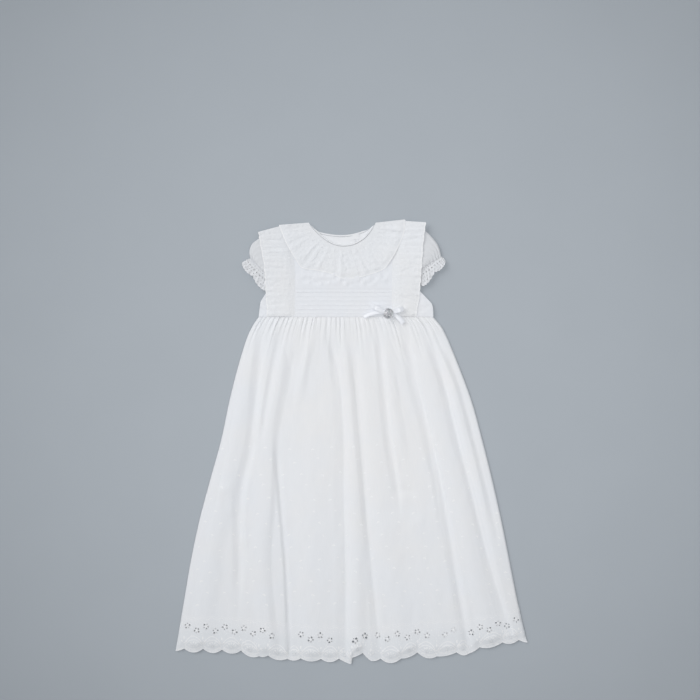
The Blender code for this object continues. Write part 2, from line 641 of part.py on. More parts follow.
def make_placket():
    """The strip with the buttonholes laps over the opening, outermost, from neck to waist."""
    right = BACK_OPENING_X + PLACKET_OVER
    left = right - PLACKET_WIDTH
    head, foot = BACK_NECK[3][1] - POINT_CLEAR, WAIST_Y + POINT_CLEAR
    strip = [(left, head), (left, foot), (right, foot), (right, head)]
    placket = add_flat_panel("back_placket", strip, OUTER_BACK_Z, BATISTE)
    middle = (left + right) / 2
    for number, y in enumerate(BACK_BUTTON_Y, 1):
        hole = add_disc(f"buttonhole_{number}", middle, y, -CLOTH, 3 * CLOTH,
                        BACK_BUTTON_RADIUS + 2 * SEAM_GAP)
        hole.hide_render = True
        hole.display_type = "WIRE"
        cut = placket.modifiers.new(f"Buttonhole {number}", "BOOLEAN")
        cut.operation = "DIFFERENCE"
        cut.object = hole
        add_disc(f"back_button_{number}", middle, y, OUTER_BACK_Z, CLOTH, BACK_BUTTON_RADIUS)


# Neck binding, collar frill and flounces

def add_binding(name, path, bottom, height, finish):
    """A narrow folded band along a neckline, with a rounded top."""
    path = np.asarray(path, float)
    along = np.gradient(path, axis=0)
    along /= np.linalg.norm(along, axis=1)[:, None]
    across = np.stack([-along[:, 1], along[:, 0]], axis=1)
    points = []
    for (x, y), (ax, ay) in zip(path, across):
        for out, up in BINDING_SECTION:
            reach = SEAM_GAP + out * BINDING_WIDTH
            points.append((x + ax * reach, y + ay * reach, bottom + up * height))
    size = len(BINDING_SECTION)
    faces = [list(range(size)), list(range(len(points) - 1, len(points) - size - 1, -1))]
    for i in range(len(path) - 1):
        for k in range(size):
            a, b = i * size + k, i * size + (k + 1) % size
            faces.append((a, b, b + size, a + size))
    add_piece(name, points, faces, finish)


def make_collar():
    columns = 4 * COLLAR_PLEATS + 1
    inner = spread_points(FRONT_NECK, columns)
    outer = spread_points(COLLAR_EDGE, columns)
    out = np.linspace(0.0, 1.0, COLLAR_ROWS)[:, None, None]
    flat = inner[None, :, :] + out * (outer - inner)[None, :, :]
    way = out[:, :, 0]
    turn = np.linspace(0.0, 1.0, columns)[None, :] * COLLAR_PLEATS * 2 * np.pi
    wave = COLLAR_WAVE * way * (1 + np.sin(turn + 0.6 * np.sin(turn)))
    floor = FRILL_Z + COLLAR_LIFT * soft_step(way, COLLAR_LIFT_FROM, COLLAR_LIFT_TO)
    top = floor + CLOTH + wave
    under = np.maximum(top - CLOTH - FRILL_SPARE, floor)
    add_wall("collar_front", flat[:, :, 0], flat[:, :, 1], top, under, LACE)


def make_collar_back():
    """The frill's back halves lie flat below the back bodice, open at the back opening."""
    neck = [tuple(p) for p in spread_points(BACK_NECK, BACK_NECK_POINTS)]
    end = COLLAR_BACK_LEFT[-1][0]
    inner = [p for p in neck if p[0] < end - COLLAR_BACK_CLEAR] + [(end, COLLAR_BACK_TOP_LEFT)]
    add_flat_panel("collar_back_left", COLLAR_BACK_LEFT + inner[::-1], OUTER_BACK_Z, LACE)
    end = COLLAR_BACK_RIGHT[-1][0]
    inner = [(end, COLLAR_BACK_TOP_RIGHT)] + [p for p in neck if p[0] > end + COLLAR_BACK_CLEAR]
    add_flat_panel("collar_back_right", COLLAR_BACK_RIGHT + inner, OUTER_BACK_Z, LACE)


def make_flounce(name, rows):
    """A band sewn from shoulder to waist, its knife pleats opening towards the outer edge."""
    steps = POINTS_PER_PLEAT * FLOUNCE_PLEATS + 1
    line = spread_points([tuple(row) for row in rows], steps)
    inner, outer, lift = line[:, 0:2], line[:, 2:4], line[:, 4]
    out = np.linspace(0.0, 1.0, FLOUNCE_ROWS)
    flat = inner[:, None, :] + out[None, :, None] * (outer - inner)[:, None, :]
    pleat = np.array(PLEAT_HEIGHTS)[np.arange(steps) % POINTS_PER_PLEAT][:, None]
    opening = out[None, :] ** PLEAT_OPENING
    floor = FRILL_Z + lift[:, None] * out[None, :]
    top = floor + CLOTH + 2 * FLOUNCE_WAVE * pleat * opening
    under = np.maximum(top - CLOTH - FRILL_SPARE, floor)
    add_wall(name, flat[:, :, 0], flat[:, :, 1], top, under, LACE)


def make_flounce_back():
    add_flat_panel("flounce_back_left", FLOUNCE_BACK_LEFT, OUTER_BACK_Z, LACE)
    add_flat_panel("flounce_back_right", FLOUNCE_BACK_RIGHT, OUTER_BACK_Z, LACE)


# Sleeves

def sleeve_ring(row, wall, waves=0, wave=0.0):
    """One flattened ring of a sleeve, outside and inside: out along the top, back along the base."""
    turn = np.linspace(0.0, 2 * np.pi, SLEEVE_POINTS, endpoint=False)
    part = (1 - np.cos(turn)) / 2
    rise = np.sign(np.sin(turn)) * np.abs(np.sin(turn)) ** RING_FULLNESS
    chord = math.dist((row.top_x, row.top_y), (row.low_x, row.low_y))
    keep = wall / chord
    middle = row.z + row.high / 2
    ripple = wave * np.clip(rise, 0.0, 1.0) * (1 - np.cos(waves * turn * 2)) / 2
    outer_x, outer_y = bend(row, part)
    inner_x, inner_y = bend(row, keep + part * (1 - 2 * keep))
    outer_z = middle + rise * row.high / 2 + ripple
    inner_high = max(row.high / 2 - wall, LEAST_INSIDE)
    inner_top = np.minimum(inner_high, row.z + wall + MOST_HOLLOW - middle)
    inner_z = middle + np.where(rise > 0, rise * inner_top, rise * inner_high)
    outside = np.stack([outer_x, outer_y, outer_z], axis=1)
    inside = np.stack([inner_x, inner_y, inner_z], axis=1)
    return outside, inside


def add_tube(name, rings, finish):
    """An open cloth tube: outer rings, inner rings, and the narrow rims at both mouths."""
    size = SLEEVE_POINTS
    points = np.concatenate([ring[0] for ring in rings] + [ring[1] for ring in rings])
    inner = size * len(rings)
    faces = []
    for r in range(len(rings) - 1):
        for k in range(size):
            a, b = r * size + k, r * size + (k + 1) % size
            faces += [(a, b, b + size), (a, b + size, a + size)]
            faces += [(inner + a, inner + b + size, inner + b)]
            faces += [(inner + a, inner + a + size, inner + b + size)]
    for r in (0, len(rings) - 1):
        for k in range(size):
            a, b = r * size + k, r * size + (k + 1) % size
            faces += [(a, inner + a, inner + b), (a, inner + b, b)]
    add_piece(name, points, faces, finish)


def make_sleeves():
    for side, sleeve, cuff in (("left", SLEEVE_LEFT, CUFF_LEFT), ("right", SLEEVE_RIGHT, CUFF_RIGHT)):
        add_tube(f"sleeve_{side}", [sleeve_ring(row, CLOTH) for row in sleeve], BATISTE)
        grow = np.linspace(0.0, CUFF_WAVE, len(cuff))
        rings = [sleeve_ring(row, CLOTH, CUFF_WAVES, wave) for row, wave in zip(cuff, grow)]
        add_tube(f"cuff_frill_{side}", rings, LACE)


# Bow and buttons

def add_ribbon(name, path, finish):
    """A satin ribbon swept along its middle line, as wide as the table says at each point."""
    line = spread_points([tuple(p) for p in path], 4 * len(path))
    along = np.gradient(line[:, :3], axis=0)
    along /= np.linalg.norm(along, axis=1)[:, None]
    level = line[-1, :2] - line[0, :2]
    if np.linalg.norm(level) < LOOP_ENDS_APART:
        level = line[len(line) // 2, :2] - line[0, :2]
    level /= np.linalg.norm(level)
    flat = along[:, :2].copy()
    for i, direction in enumerate(flat):
        if np.linalg.norm(direction) < STEEP_BELOW:
            flat[i] = level
    flat /= np.linalg.norm(flat, axis=1)[:, None]
    flat *= np.sign(flat @ level)[:, None]
    side = np.stack([-flat[:, 1], flat[:, 0], np.zeros(len(flat))], axis=1)
    face = np.cross(along, side)
    half = line[:, 3:4] / 2
    middle = line[:, :3] + np.array([0.0, 0.0, RIBBON / 2])
    corners = [(1, 1), (-1, 1), (-1, -1), (1, -1)]
    rings = [middle + s * half * side + f * RIBBON / 2 * face for s, f in corners]
    points = np.stack(rings, axis=1).reshape(-1, 3)
    count = len(line)
    faces = [(3, 2, 1, 0), tuple(4 * (count - 1) + k for k in range(4))]
    for i in range(count - 1):
        for k in range(4):
            a, b = 4 * i + k, 4 * i + (k + 1) % 4
            faces.append((a, b, b + 4, a + 4))
    add_piece(name, points, faces, finish)


def make_bow():
    add_ribbon("bow_tails", BOW_TAILS, SATIN)
    add_ribbon("bow_loop_left", BOW_LOOP_LEFT, SATIN)
    add_ribbon("bow_loop_right", BOW_LOOP_RIGHT, SATIN)


def make_button():
    """A round faceted button, low and broad."""
    points = []
    for ring in BUTTON_RINGS:
        for k in range(BUTTON_SIDES):
            turn = 2 * math.pi * k / BUTTON_SIDES
            reach = BUTTON_RADIUS * ring.radius
            x, y = BOW_X + reach * math.cos(turn), BOW_Y + reach * math.sin(turn)
            points.append((x, y, BUTTON_Z + ring.height))
    last = len(points) - BUTTON_SIDES
    faces = [list(range(BUTTON_SIDES - 1, -1, -1)), list(range(last, len(points)))]
    for r in range(len(BUTTON_RINGS) - 1):
        for k in range(BUTTON_SIDES):
            a = r * BUTTON_SIDES + k
            b = r * BUTTON_SIDES + (k + 1) % BUTTON_SIDES
            faces.append((a, b, b + BUTTON_SIDES, a + BUTTON_SIDES))
    add_piece("bow_button", points, faces, SILVER_GREY, smooth=False, metallic=0.6)


def remove_everything():
    for thing in list(bpy.data.objects):
        bpy.data.objects.remove(thing, do_unlink=True)


def build():
    remove_everything()
    make_skirt_front()
    make_skirt_back()
    make_border_front()
    make_border_back()
    make_yoke()
    make_tucked_panel()
    make_back_bodice()
    make_placket()
    front_neck = spread_points(FRONT_NECK, FRONT_NECK_POINTS + 1)[1:-1]
    add_binding("neck_binding_front", front_neck, FRONT_BODICE_Z, BINDING_HEIGHT, LACE)
    back_neck = spread_points(BACK_NECK, BACK_NECK_POINTS + 1)[2:-2]
    add_binding("neck_binding_back", back_neck, BACK_BODICE_Z, CLOTH, LACE)
    make_collar()
    make_collar_back()
    make_flounce("flounce_left", FLOUNCE_LEFT)
    make_flounce("flounce_right", FLOUNCE_RIGHT)
    make_flounce_back()
    make_sleeves()
    make_bow()
    make_button()


build()
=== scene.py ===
# Looks of a baby's christening gown, laid flat on its back on a studio floor.
# Sizes in the tables are millimetres in the gown's own frame: X to the right, Y towards the
# neck and Z up from the floor. Each cloth piece is a thin shell on the form of its solid,
# and embroidery, stitches and lace edges are laid on it thread by thread.

import math
from collections import namedtuple

import bmesh
import bpy
import numpy as np
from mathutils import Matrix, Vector
from mathutils.geometry import delaunay_2d_cdt


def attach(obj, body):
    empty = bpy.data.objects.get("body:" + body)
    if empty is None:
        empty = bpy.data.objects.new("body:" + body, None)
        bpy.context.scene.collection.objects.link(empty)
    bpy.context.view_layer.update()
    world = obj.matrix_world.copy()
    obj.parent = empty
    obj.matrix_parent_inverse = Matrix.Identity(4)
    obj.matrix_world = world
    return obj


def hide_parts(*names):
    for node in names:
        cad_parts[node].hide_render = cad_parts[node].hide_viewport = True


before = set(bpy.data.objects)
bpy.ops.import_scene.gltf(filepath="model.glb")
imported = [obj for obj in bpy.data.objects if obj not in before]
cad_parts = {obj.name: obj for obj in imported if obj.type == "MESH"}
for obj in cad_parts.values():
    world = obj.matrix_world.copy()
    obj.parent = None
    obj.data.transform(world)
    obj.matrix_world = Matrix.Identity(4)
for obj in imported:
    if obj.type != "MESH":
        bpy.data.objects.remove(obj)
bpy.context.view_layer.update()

MM = 0.001


def table(kind, rows):
    return [kind(*row) for row in rows]


# Layers and cloth, as in the solids
CLOTH = 1.2
SEAM_GAP = 0.3
BACK_BODICE_Z = 1.5
FRONT_BODICE_Z = 3.0
FRILL_Z = 4.5
BATISTE_THICK = 0.45
WAIST_Y = 175.0
BORDER_DEPTH = 46.0
BACK_HEM_INSET = 2.5

# Side outline of the skirt from the hem corners up to the waist
OutlineRow = namedtuple("OutlineRow", "y left right")
SKIRT_SIDES = table(OutlineRow, [
    (-293.4, -247.2, 248.4), (-221.3, -235.1, 231.8), (-165.3, -225.5, 220.6),
    (-109.3, -213.6, 209.4), (-53.3, -198.7, 196.8), (2.7, -183.3, 182.8), (58.7, -171.4, 167.4),
    (100.7, -160.9, 152.0), (128.7, -152.7, 140.8), (149.7, -145.5, 131.7), (163.7, -138.5, 124.0),
    (174.9, -130.8, 114.2),
])

# Hem from the left corner to the right one: a notch and how far the scallop after it sags
HemRow = namedtuple("HemRow", "x y sag")
HEM = table(HemRow, [
    (-247.2, -293.4, 0.7), (-234.9, -289.6, 5.6), (-208.5, -289.6, 5.6), (-182.0, -291.0, 5.2),
    (-155.3, -292.2, 4.9), (-130.1, -300.2, 1.8), (-117.5, -299.2, 4.2), (-90.4, -303.8, 3.1),
    (-71.8, -303.2, 4.2), (-43.3, -303.9, 4.9), (-18.4, -303.6, 0.8), (-1.5, -311.6, 0.0),
    (0.0, -302.5, 0.8), (15.5, -295.5, 1.1), (26.5, -306.7, 1.7), (40.2, -303.6, 6.4),
    (68.7, -303.6, 2.5), (91.8, -294.8, 5.3), (118.6, -300.6, 2.0), (147.0, -294.8, 3.6),
    (164.6, -296.4, 1.1), (178.5, -287.8, 3.9), (210.8, -280.8, 3.9), (233.6, -277.3, 0.8),
    (246.4, -281.5, 0.0),
])
HEM_LINE_X = [-247.0, -160.0, -60.0, 40.0, 100.0, 160.0, 247.0]
HEM_LINE_Y = [-289.0, -292.5, -302.5, -303.0, -297.5, -294.0, -278.0]

# Folds of the skirt front: where each runs at six heights, how far it reaches to the left and
# right, how high it stands (or how deep it goes), and between which heights it shows
FOLD_STATIONS_Y = [-260.0, -170.0, -80.0, 10.0, 90.0, 165.0]
Fold = namedtuple("Fold", "name path left right height top foot")
FOLDS = table(Fold, [
    ("left swell", (-208, -197, -180, -162, -148, -137), 22, 20, 1.7, 150, -330),
    ("left valley", (-160, -158, -157, -139, -133, -125), 11, 11, -2.2, 190, -230),
    ("left gathered ridge", (-175, -160, -150, -134, -121, -110), 9, 9, 1.3, 190, -20),
    ("left gathered valley", (-172, -158, -140, -126, -112, -96), 8, 8, -1.6, 190, -10),
    ("left broad ridge", (-116, -125, -118, -114, -98, -88), 26, 13, 2.6, 150, -330),
    ("left sharp step", (-88, -92, -100, -106, -92, -84), 6, 34, -1.9, 10, -330),
    ("left upper hollow", (-88, -92, -100, -104, -92, -84), 9, 24, -1.0, 150, -20),
    ("left short ridge", (-96, -92, -86, -78, -70, -52), 10, 10, 1.3, 190, 40),
    ("left middle swell", (-52, -52, -52, -50, -46, -44), 30, 26, 1.1, 60, -330),
    ("short valley", (-20, -20, -20, -12, -22, -33), 8, 7, -1.3, 190, 60),
    ("middle valley", (-9, -8, -12, -10, -16, -28), 16, 8, -2.1, 165, -330),
    ("middle ridge", (8, 7, 5, 3, -5, -12), 13, 15, 2.2, 150, -330),
    ("middle right valley", (33, 26, 18, 9, 3, -5), 8, 15, -1.5, 170, -330),
    ("right soft swell", (66, 54, 42, 30, 24, 16), 18, 24, 1.3, 130, -330),
    ("right short valley", (90, 78, 66, 51, 44, 36), 10, 8, -2.0, 190, -90),
    ("right short ridge", (100, 92, 82, 66, 53, 44), 9, 11, 1.5, 140, -35),
    ("right sharp valley", (160, 144, 128, 108, 88, 75), 14, 8, -2.7, 190, -330),
    ("right ridge", (190, 169, 150, 126, 108, 88), 20, 18, 1.9, 150, -330),
    ("right outer valley", (217, 193, 172, 147, 128, 101), 12, 10, -2.2, 190, -290),
    ("right outer ridge", (226, 206, 184, 160, 138, 112), 11, 10, 1.4, 150, -110),
    ("right edge valley", (236, 214, 192, 170, 147, 110), 8, 8, -1.6, 190, -160),
])
FOLD_SHOWN = 0.9
CREASE_SHOWN = 0.55
FOLD_FADE = 45.0
FOLD_AT_WAIST = 0.35
FOLD_GROWTH = 60.0
SKIRT_CROWN = 2.1
SKIRT_EDGE_ROUND = 24.0
SKIRT_EDGE_TOP = 3.1
HIGHEST_FOLD = 8.3
DEEPEST_FOLD = 0.9
# The dip at the waist seam, and the strip below it that no fold presses down
WAIST_DIP = 0.8
WAIST_STRIP = 12
# How far the side edges roll down, and from how far in
SIDE_DROP = 1.5
SIDE_ROLL = 2.0
# How much of its way the front hem comes down to the back one, from how high up, and how close
HEM_SETTLES = 0.72
HEM_REACH = 15.0
HEM_APART = 0.2
SKIRT_COLUMNS = 300
SKIRT_ROWS = 118
ROWS_TO_WAIST = 1.15
BACK_COLUMNS = 110
BACK_ROWS = 60
BACK_SIDE_INSET = 0.002

# Narrow creases in the floors of the folds, too fine for the solids
CREASES = table(Fold, [
    ("left step edge", (-90, -94, -101, -106, -97, -88), 2.2, 8, -1.5, 0, -340),
    ("left valley floor", (-160, -156, -155, -137, -130, -124), 7, 6, -0.8, 150, -260),
    ("left valley split", (-158, -149, -165, -150, -141, -132), 4, 5, -0.6, -40, -200),
    ("left fine ridge", (-110, -116, -113, -109, -96, -86), 5, 4, 0.6, 20, -240),
    ("middle valley edge", (-8, -8, -10, -11, -16, -28), 6, 2.2, -1.4, 120, -340),
    ("middle right edge", (35, 26, 18, 10, 3, -5), 2.4, 7, -1.1, 120, -340),
    ("right short edge", (82, 72, 66, 55, 45, 37), 6, 3, -0.9, 90, -120),
    ("right sharp edge", (160, 144, 130, 112, 92, 76), 7, 2.2, -1.5, 110, -340),
    ("right double line", (150, 130, 119, 105, 86, 70), 5, 4, -0.7, 60, -160),
    ("right outer edge", (221, 193, 170, 147, 127, 103), 6, 2.2, -1.3, 120, -300),
    ("right side line", (240, 219, 198, 176, 156, 130), 3, 3, -0.7, 120, -200),
    ("left side line", (-232, -214, -190, -172, -158, -141), 3, 4, -0.7, 130, -120),
])

# Soft dents pressed into the skirt: place, half width, half height, depth
Dent = namedtuple("Dent", "x y wide high depth")
DENTS = table(Dent, [
    (71.0, -69.0, 13.0, 5.0, -0.9), (-161.0, -120.0, 8.0, 14.0, -0.7),
    (-176.0, -66.0, 17.0, 9.0, 0.6), (-150.0, -138.0, 6.0, 11.0, 0.7),
    (96.0, -120.0, 16.0, 22.0, 0.5), (52.0, -96.0, 20.0, 8.0, -0.5),
    (186.0, -205.0, 20.0, 6.0, 0.4),
])

# Straight little creases pressed into the skirt, the bodice and its frills: from one place to
# another, half width and depth
PressedLine = namedtuple("PressedLine", "x y to_x to_y wide depth")
SKIRT_CREASES = table(PressedLine, [
    (-59.0, 148.0, -71.0, 72.0, 4.0, 0.7), (-39.0, 142.0, -17.0, 78.0, 3.2, 0.6),
    (-31.0, 142.0, -10.0, 84.0, 2.8, -0.5), (50.0, 152.0, 68.0, 108.0, 3.2, -0.6),
    (60.0, 146.0, 88.0, 98.0, 3.0, 0.6), (67.0, 150.0, 93.0, 112.0, 3.0, -0.5),
    (56.0, 96.0, 66.0, 56.0, 3.6, 0.6), (-96.0, 140.0, -84.0, 96.0, 3.2, -0.5),
    (30.0, 146.0, 36.0, 96.0, 3.0, 0.4), (58.0, -60.0, 92.0, -72.0, 3.4, -0.5),
    (-190.0, -70.0, -166.0, -62.0, 4.0, 0.5), (-176.0, -110.0, -150.0, -98.0, 4.0, -0.45),
    (-60.0, -132.0, -34.0, -124.0, 3.6, 0.35), (80.0, -120.0, 104.0, -104.0, 4.0, 0.45),
    (140.0, 60.0, 156.0, 18.0, 3.0, 0.5),
])
COLLAR_CREASES = table(PressedLine, [
    (-78.0, 263.0, -62.0, 285.0, 1.6, -0.7), (-61.0, 248.0, -35.0, 267.0, 1.8, -0.8),
    (-49.0, 261.5, -34.5, 242.0, 2.6, -0.7), (-22.0, 255.5, -21.0, 234.0, 1.5, -0.6),
    (-10.0, 257.0, -9.5, 233.0, 1.8, 0.6), (11.0, 259.0, 13.0, 235.0, 1.5, -0.6),
    (-96.0, 296.0, -70.0, 296.5, 1.8, 0.5), (33.0, 258.0, 41.0, 246.0, 1.8, -0.5),
    (38.0, 277.0, 62.0, 268.0, 1.6, -0.5), (36.0, 292.0, 70.0, 288.0, 1.8, -0.5),
    (-52.0, 276.0, -71.0, 252.0, 1.6, 0.5),
])
FLOUNCE_CREASES = table(PressedLine, [
    (-126.0, 280.5, -91.0, 282.0, 2.0, -1.0), (-125.0, 270.5, -86.0, 271.5, 2.2, -0.8),
    (-124.0, 265.5, -84.0, 267.0, 1.2, 0.7), (-120.0, 246.0, -92.0, 241.0, 1.6, -0.5),
    (-119.0, 214.0, -99.0, 226.0, 1.6, -0.4), (-118.0, 190.0, -86.0, 196.0, 2.0, -0.4),
    (70.0, 250.0, 93.0, 222.0, 1.8, -0.7), (66.0, 236.0, 88.0, 246.0, 1.6, -0.5),
    (69.0, 282.0, 98.0, 286.0, 1.8, -0.6), (68.0, 296.0, 101.0, 297.0, 1.6, 0.6),
    (61.0, 205.0, 92.0, 196.0, 1.8, -0.5), (60.0, 214.0, 90.0, 208.0, 1.4, 0.4),
])
YOKE_CREASES = table(PressedLine, [
    (-72.0, 236.0, -46.0, 222.0, 2.4, -0.45), (-40.0, 232.0, 12.0, 219.0, 3.0, 0.35),
    (10.0, 226.0, 50.0, 236.0, 2.4, -0.4), (92.0, 208.0, 109.0, 190.0, 2.0, 0.5),
    (-126.0, 199.0, -119.0, 182.0, 1.6, 0.5), (-104.0, 219.0, -84.0, 216.0, 2.0, -0.3),
])

# Small uneven waves of handled cotton: seed, shortest and longest wave, how much they lean,
# and height
Crumple = namedtuple("Crumple", "seed shortest longest lean height")
CRUMPLE_WAVES = 26
SKIRT_CRUMPLE = Crumple(5, 8.0, 30.0, 0.35, 0.15)
SKIRT_FINE_CRUMPLE = Crumple(6, 5.0, 16.0, 0.5, 1.0)
SKIRT_BACK_CRUMPLE = Crumple(11, 8.0, 26.0, 0.4, 0.1)
YOKE_CRUMPLE = Crumple(21, 4.0, 15.0, 1.2, 1.3)
PANEL_CRUMPLE = Crumple(31, 4.0, 15.0, 1.2, 1.0)
COLLAR_CRUMPLE = Crumple(61, 3.0, 11.0, 1.6, 0.32)
FLOUNCE_CRUMPLE = Crumple(63, 2.4, 12.0, 0.5, 0.17)
FLOUNCE_FINE_CRUMPLE = Crumple(64, 2.2, 6.5, 0.8, 0.14)
# Pieces of the back are pressed almost flat: how high they lie, and how deep their creases are
BACK_LIES = 0.7
BACK_CRUMPLE_DEPTH = 0.25

# Gathers along the waist
GATHERS = 38
GATHER_HEIGHT = 1.05
# How far down from the waist the finest gathers reach
FINE_GATHERS = 34

# Pieces of the eyelet border, counted up from the line of the notches
FLOWER_ABOVE = 29.4
FLOWER_ZIGZAG = 3.1
FLOWER_REACH = 3.2
PETAL_HOLE = 1.35
# Runs of eyelet flowers between the folds that hide the others: whether the first stands up or
# down in the zigzag, how open the holes are, and how far the back's lie beside the front's
FlowerRun = namedtuple("FlowerRun", "start end count first opening apart")
FLOWER_RUNS = table(FlowerRun, [
    (-230.3, -111.9, 10, 1, 1.0, 0.7), (-71.3, -30.9, 4, 1, 1.05, 0.5),
    (4.6, 18.1, 2, -1, 1.3, 0.0), (36.0, 105.4, 6, 1, 0.95, 1.1), (130.3, 142.4, 2, -1, 0.7, 4.0),
    (167.0, 229.7, 6, -1, 0.95, 0.6),
])
SCALLOP_FLOWER_ABOVE = 9.5
SCALLOP_FLOWER_REACH = 1.9
SCALLOP_HOLE = 0.5
GARLAND_ABOVE = 43.5
GARLAND_WAVE = 13.3
# Two garland lines: how far the second lies above the first, and the size of their stitches
GARLAND_LINES = ((0.0, 0.8), (2.6, 0.6))
GARLAND_PITCH = 2.2
SCALLOP_CORD_PITCH = 1.5
# Leaves over a notch: angle, reach and size; and those round the flower of a scallop
NOTCH_LEAVES = ((90, 15.5, 1.25), (55, 13.5, 1.0), (125, 13.5, 1.0), (90, 9.5, 0.9))
SCALLOP_LEAF_ANGLES = (20, 160, 55, 125, 90)
SCALLOP_LEAF_SIZE = 0.85
SEED_STITCHES = 900
# How far the border goes in under the skirt, and how finely it is cut
BORDER_TUCKED_IN = 0.8
BORDER_SPACING = 3.4
BORDER_TOP_POINTS = 150
BORDER_FOOT_POINTS = 560
BORDER_SIDE_POINTS = 16
# Rows of sprigs on the skirt: where they start and end, how far apart the sprigs of a row are,
# and how close the rows lie beside that
SPRIGS_TOP_Y = -8.0
SPRIGS_FOOT_Y = -232.0
SPRIG_GAP = 30.0
SPRIG_GAP_AT_HEM = 24.0
SPRIG_ROW_SHARE = 0.62

# Stitches of each kind of work: length, width and height, and the seed of their unevenness
Stitch = namedtuple("Stitch", "length width height seed")
HEART = Stitch(1.0, 1.0, 0.2, 2)
SCALLOP_SATIN = Stitch(2.7, 1.0, 0.4, 3)
CORD = Stitch(1.9, 1.7, 0.32, 4)
LEAF = Stitch(4.0, 2.2, 0.3, 14)
SEED = Stitch(1.6, 1.0, 0.25, 16)
FLOUNCE_SATIN = Stitch(2.0, 1.2, 0.3, 8)
FLOUNCE_DOT = Stitch(1.3, 1.1, 0.4, 9)
COLLAR_SATIN = Stitch(1.8, 1.2, 0.3, 10)
PICOT = Stitch(1.1, 0.8, 0.7, 12)
SPRIG_SIZES = {"Leaf length": 2.3, "Leaf width": 2.0, "Leaf height": 0.26}
LEAF_ANGLES = (-65.0, 0.0, 65.0)
LEAF_REACH = 0.6
# Share by which stitches differ in size
UNEVEN = 0.15
# Stitches sink into the cloth by this much, so that only their lit tops stand out
BEDDED = -0.04
RIMS_BEDDED = -0.1

# Neckline and the collar frill's outer edge, from the left shoulder to the right one
FRONT_NECK = [(-60.6, 307.0), (-55.9, 300.0), (-47.5, 291.0), (-37.7, 282.7), (-26.5, 276.4),
              (-12.5, 273.6), (0.1, 275.0), (11.3, 279.9), (21.1, 287.6), (28.1, 296.7),
              (33.3, 307.0)]
BACK_NECK = [(-56.0, 302.5), (-44.0, 291.5), (-31.4, 288.5), (0.0, 288.5), (19.7, 295.0),
             (29.5, 303.0)]
COLLAR_EDGE = [(-102.1, 303.7), (-96.5, 288.3), (-89.5, 272.9), (-81.1, 258.9), (-69.9, 243.5),
               (-52.0, 240.5), (-30.7, 235.8), (-12.0, 228.5), (7.1, 229.5), (26.0, 234.5),
               (44.9, 242.1), (56.5, 257.0), (66.0, 275.0), (73.5, 295.0), (73.9, 311.4)]
COLLAR_PLEATS = 15
COLLAR_WAVE = 1.1
COLLAR_LIFT = 1.3
COLLAR_BASE = 0.45
COLLAR_CURL = 0.5
BINDING_WIDTH = 2.4
BINDING_HEIGHT = 2.5
BACK_BINDING_HEIGHT = CLOTH + 0.4
BINDING_TAPER = 8
COLLAR_GRID = (361, 46)
FLOUNCE_GRID = (271, 42)
# Satin edge and dotted line of the frills: stitches, and how far out they lie
FLOUNCE_EDGE_STITCHES = 150
COLLAR_EDGE_STITCHES = 300
EDGE_OUT = 0.985
FLOUNCE_DOTS = 46
DOTS_OUT = 0.87
# Back halves of the frills, pressed flat; those of the collar end at the back neckline
COLLAR_BACK_LEFT = [(-60.0, 304.3), (-99.0, 301.8), (-92.0, 286.0), (-82.0, 268.0), (-66.0, 252.0),
                    (-40.0, 243.0), (-7.0, 239.0), (-7.0, 288.5)]
COLLAR_BACK_RIGHT = [(33.0, 304.3), (71.0, 307.0), (66.0, 288.0), (56.0, 268.0), (42.0, 252.0),
                     (24.0, 243.0), (9.0, 239.0), (9.0, 289.0)]
FLOUNCE_BACK_LEFT = [(-103.5, 299.0), (-118.0, 290.0), (-114.0, 250.0), (-109.0, 226.0),
                     (-106.0, 212.0), (-106.0, 177.0), (-80.0, 177.0), (-80.0, 258.0),
                     (-86.0, 270.0), (-96.0, 286.0)]
FLOUNCE_BACK_RIGHT = [(78.0, 303.0), (92.0, 297.0), (89.0, 254.0), (85.0, 230.0), (82.0, 215.0),
                      (82.0, 177.0), (56.0, 177.0), (56.0, 260.0), (60.5, 270.0), (70.5, 290.0)]

# Bodice
SHOULDER_LEFT = (-100.5, 303.2)
SHOULDER_RIGHT = (75.3, 310.8)
YOKE_FOOT_Y = 214.5
# The yoke is seen below this height, between the collar and the flounces
YOKE_OPEN_Y = 242.0
LEFT_SIDE = [(-111.5, 213.5), (-120.3, 208.8), (-128.0, 196.3), (-129.6, 184.7), (-130.8, 175.2)]
RIGHT_SIDE = [(86.5, 216.5), (94.8, 211.6), (111.7, 194.0), (113.5, 188.0), (114.2, 175.2)]
PINTUCK_Y = [210.7, 204.7, 198.4, 192.2, 186.3, 180.5]
TUCK_SHOWN = [0.55, 0.25, 0.34, 0.3, 0.36, 0.25]
PINTUCK_HALF = 1.3
TUCKS_FROM_X = -78.0
TUCKS_TO_X = 54.0
TUCK_FADE = 1.6
BACK_OPENING_X = 5.0
PLACKET_WIDTH = 13.0
PLACKET_OVER = 3.0
PLACKET_Z = 0.75
# The placket's turned-in end, which shows inside the neck
PLACKET_END = [(0.5, 291.0), (0.5, 283.2), (9.6, 284.6), (9.6, 292.6)]
PLACKET_END_ABOVE = 1.75

